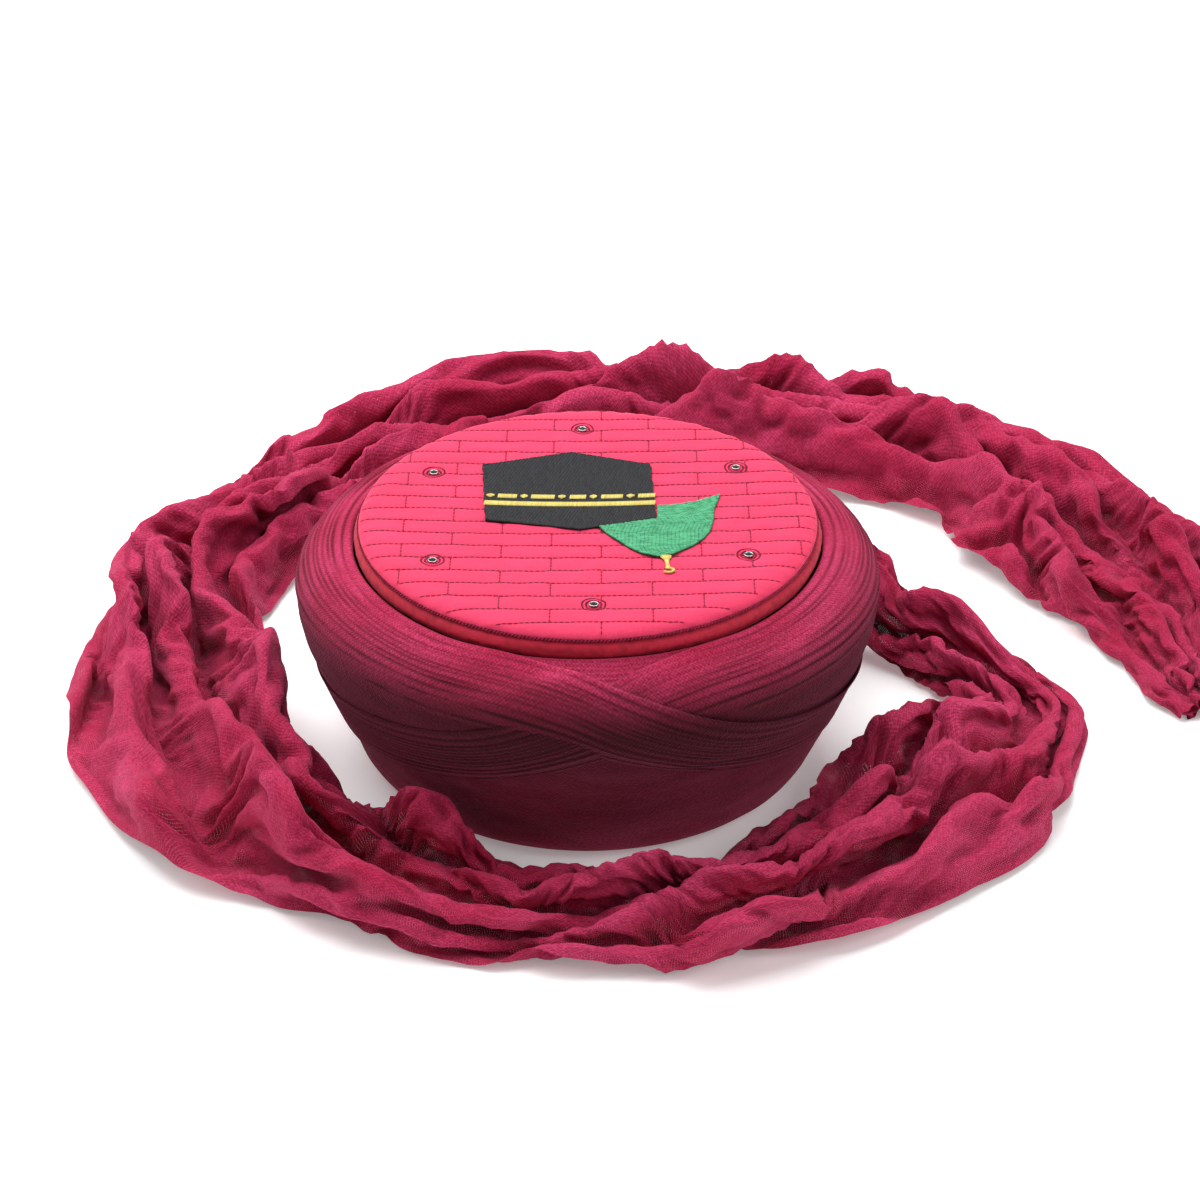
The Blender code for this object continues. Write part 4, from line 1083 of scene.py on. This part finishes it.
# %% [markdown]
# Then the pleats fall. A cloth simulation lets them sink on the floor and against the hat for half a second,
# under less than half of its weight, so that they slump and overlap but keep their loft. The sheet is let out by
# four parts in a hundred, which gives it the slack that crumples it. The first rows are held, because they are
# wound in. Only the result is kept: the cloth, the floor and the hat's wall of the simulation are taken away.

# %% Falling cloth
FALL_FRAMES = 14


def wall_of(name, points, around):
    """An obstacle for the cloth: a grid of points with a collision modifier."""
    made = grid_mesh(name, points, muslin_wound, around=around)
    made.modifiers.new("wall", "COLLISION")
    made.collision.use_culling = False
    made.collision.thickness_outer = 0.0015
    made.collision.cloth_friction = 20
    made.collision.damping = 0.8
    return made


def fallen(grid, frames):
    """The grid as a sheet of cloth after some frames of falling on the floor and against the hat."""
    plane = np.array([[(-1.0, -1.0, 0.0), (-1.0, 1.0, 0.0)], [(1.0, -1.0, 0.0), (1.0, 1.0, 0.0)]])
    hat = polar(PROFILE[:9, 0] + 0.003, turns(96)[:, None], PROFILE[:9, 1])
    obstacles = [wall_of("fall_floor", plane, False), wall_of("fall_hat", hat, True)]
    sheet = grid_mesh("fall_sheet", grid, muslin_wound)
    sheet.vertex_groups.new(name="wound_in").add(list(range(2 * grid.shape[1])), 1.0, "REPLACE")
    modifier = sheet.modifiers.new("cloth", "CLOTH")
    cloth, contact = modifier.settings, modifier.collision_settings
    cloth.quality = 5
    cloth.mass = 0.15
    cloth.air_damping = 2.0
    cloth.tension_stiffness = cloth.compression_stiffness = 12.0
    cloth.shear_stiffness = 3.0
    cloth.bending_stiffness = 0.8
    cloth.shrink_min = -0.04
    cloth.effector_weights.gravity = 0.45
    cloth.vertex_group_mass = "wound_in"
    contact.distance_min = 0.0015
    contact.use_self_collision = True
    contact.self_distance_min = 0.0025
    contact.self_friction = 15.0
    contact.collision_quality = 2
    scene = bpy.context.scene
    for number in range(1, frames + 1):
        scene.frame_set(number)
    settled = sheet.evaluated_get(bpy.context.evaluated_depsgraph_get()).data
    points = np.empty(len(settled.vertices) * 3)
    settled.vertices.foreach_get("co", points)
    scene.frame_set(1)
    for made in [sheet] + obstacles:
        mesh = made.data
        bpy.data.objects.remove(made)
        bpy.data.meshes.remove(mesh)
    return points.reshape(grid.shape)


laid = fallen(bundle, FALL_FRAMES)
print("the cloth fell by", round(float((bundle - laid)[..., 2].mean()) * 1000, 1), "mm on average")

# %% [markdown]
# The fallen sheet is coarse, so it is read again on a finer grid, by cubic curves along and then across. Gauze
# also has fine crinkles that the coarse sheet can't hold: three sizes of ridges are raised on it, longer along
# the sheet than across. Where the sheet curls inwards, and in the crinkles' hollows, shade is painted on it. Its
# start is tucked a few millimetres under the winding's outer turns, as the cloth comes out from between them.

# %% Fine grid and crinkles
FINE_STATIONS, FINE_ACROSS = 530, 150
TUCK_FROM, TUCK_LENGTH, TUCK_DEPTH = 0.03, 0.065, 0.004
CURL = 0.0022


def finer(grid, rows, columns):
    """A grid read at more rows and columns, by a cubic curve through its own."""
    tall = grid.reshape(len(grid), -1)
    tall = curve(np.arange(len(grid)), tall, np.linspace(0, len(grid) - 1, rows)).reshape(rows, grid.shape[1], -1)
    flip = np.swapaxes(tall, 0, 1)
    flip = curve(np.arange(len(flip)), flip.reshape(len(flip), -1), np.linspace(0, len(flip) - 1, columns))
    return np.swapaxes(flip.reshape(columns, rows, -1), 0, 1)


def normals(grid):
    """Unit normals of a grid of points, from the cross product of its two directions."""
    across = np.cross(np.gradient(grid, axis=0), np.gradient(grid, axis=1))
    return across / np.maximum(np.linalg.norm(across, axis=-1, keepdims=True), 1e-12)


def ridges(value):
    """Noise turned into narrow ridges: high where it crosses zero."""
    return 0.55 - np.abs(value)


laid = finer(laid, FINE_STATIONS, FINE_ACROSS)
metre = np.linspace(0, TAIL_LENGTH, FINE_STATIONS)[:, None] + np.zeros((1, FINE_ACROSS))
cloth = np.linspace(0, TAIL_FLAT, FINE_ACROSS)[None, :] + 0 * metre
crinkle = 0.0009 * ridges(drift(87, metre / 0.060, cloth / 0.022 + metre / 0.10))
crinkle = crinkle + 0.0005 * ridges(drift(88, metre / 0.028, cloth / 0.012 - metre / 0.06))
crinkle = crinkle + 0.00022 * drift(89, metre / 0.013, cloth / 0.007)
calm = 0.55 + 0.45 * drift(90, metre / 0.15, cloth / 0.08)
crinkle = crinkle * np.clip(calm, 0.15, 1.2)
inward = laid - (np.roll(laid, 3, axis=1) + np.roll(laid, -3, axis=1)) / 2
inward = np.clip(-(inward * normals(laid)).sum(axis=-1) / CURL, 0, 1)
inward[:, :3], inward[:, -3:] = 0, 0
laid = laid + normals(laid) * crinkle[..., None]
tucked = 1 - step((metre - TUCK_FROM) / TUCK_LENGTH)
wall = np.interp(laid[..., 2], PROFILE[:, 1], PROFILE[:, 0])
away = np.hypot(laid[..., 0], laid[..., 1])
laid[..., :2] *= (1 - tucked * (away - wall + TUCK_DEPTH) / away)[..., None]
laid = kept_clear(laid, 0.0007, 0.0045 - 0.009 * tucked)
# Painted shade where the sheet curls inwards and in the crinkles' hollows.
tail = grid_mesh("tail_cloth", laid, muslin_loose, np.stack([metre, cloth], axis=-1),
                 marks={"recess_shade": np.clip(0.5 * inward - crinkle / 0.006, 0, 1), "shade": 0 * inward})
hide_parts("tail")
print("free end", len(tail.data.polygons), "faces, corners", laid.reshape(-1, 3).min(0), laid.reshape(-1, 3).max(0))

# %% [markdown]
# The hat stands on a plain pale floor under soft studio light: a wide lamp above and behind it, a weaker one on
# each side, and a pale surround. The floor glows faintly, as lit paper does, so that it stays white to its edge.

# %% Floor
floor_bench = Bench("studio_floor", roughness=0.6)
floor_grain = floor_bench.noise(floor_bench.place(), 0.4, 2.0)
floor_colour = floor_bench.mix(floor_grain, (0.95, 0.95, 0.95), (0.97, 0.97, 0.97))
floor_finish = floor_bench.done(Base_Color=floor_colour, Emission_Color=(1.0, 1.0, 1.0), Emission_Strength=0.20)
edge = np.linspace(-6.0, 6.0, 5)
floor_points = np.stack(np.meshgrid(edge, edge, indexing="ij") + [np.zeros((5, 5))], axis=-1)
floor = grid_mesh("studio_floor", floor_points, floor_finish)
print("floor", edge[-1] * 2, "m wide")

# %% Light
HAT_MIDDLE = Vector((0.0, 0.0, 0.05))


def lamp(name, place, size, power):
    """A square soft lamp that faces the hat."""
    data = bpy.data.lights.new(name, "AREA")
    data.shape = "SQUARE"
    data.size = size
    data.energy = power
    made = bpy.data.objects.new(name, data)
    made.location = place
    made.rotation_mode = "QUATERNION"
    made.rotation_quaternion = (HAT_MIDDLE - Vector(place)).to_track_quat("-Z", "Y")
    bpy.context.scene.collection.objects.link(made)


lamp("top_lamp", (-0.3, 0.75, 1.80), 2.2, 66.0)
lamp("left_lamp", (-1.8, -0.2, 1.3), 1.4, 11.0)
lamp("right_lamp", (1.8, -0.6, 1.3), 1.4, 15.0)
world = bpy.data.worlds.new("studio")
world.use_nodes = True
surround = world.node_tree.nodes["Background"].inputs
surround["Color"].default_value = (1.0, 1.0, 1.0, 1.0)
surround["Strength"].default_value = 0.30
bpy.context.scene.world = world
bpy.context.scene.view_settings.view_transform = "Standard"
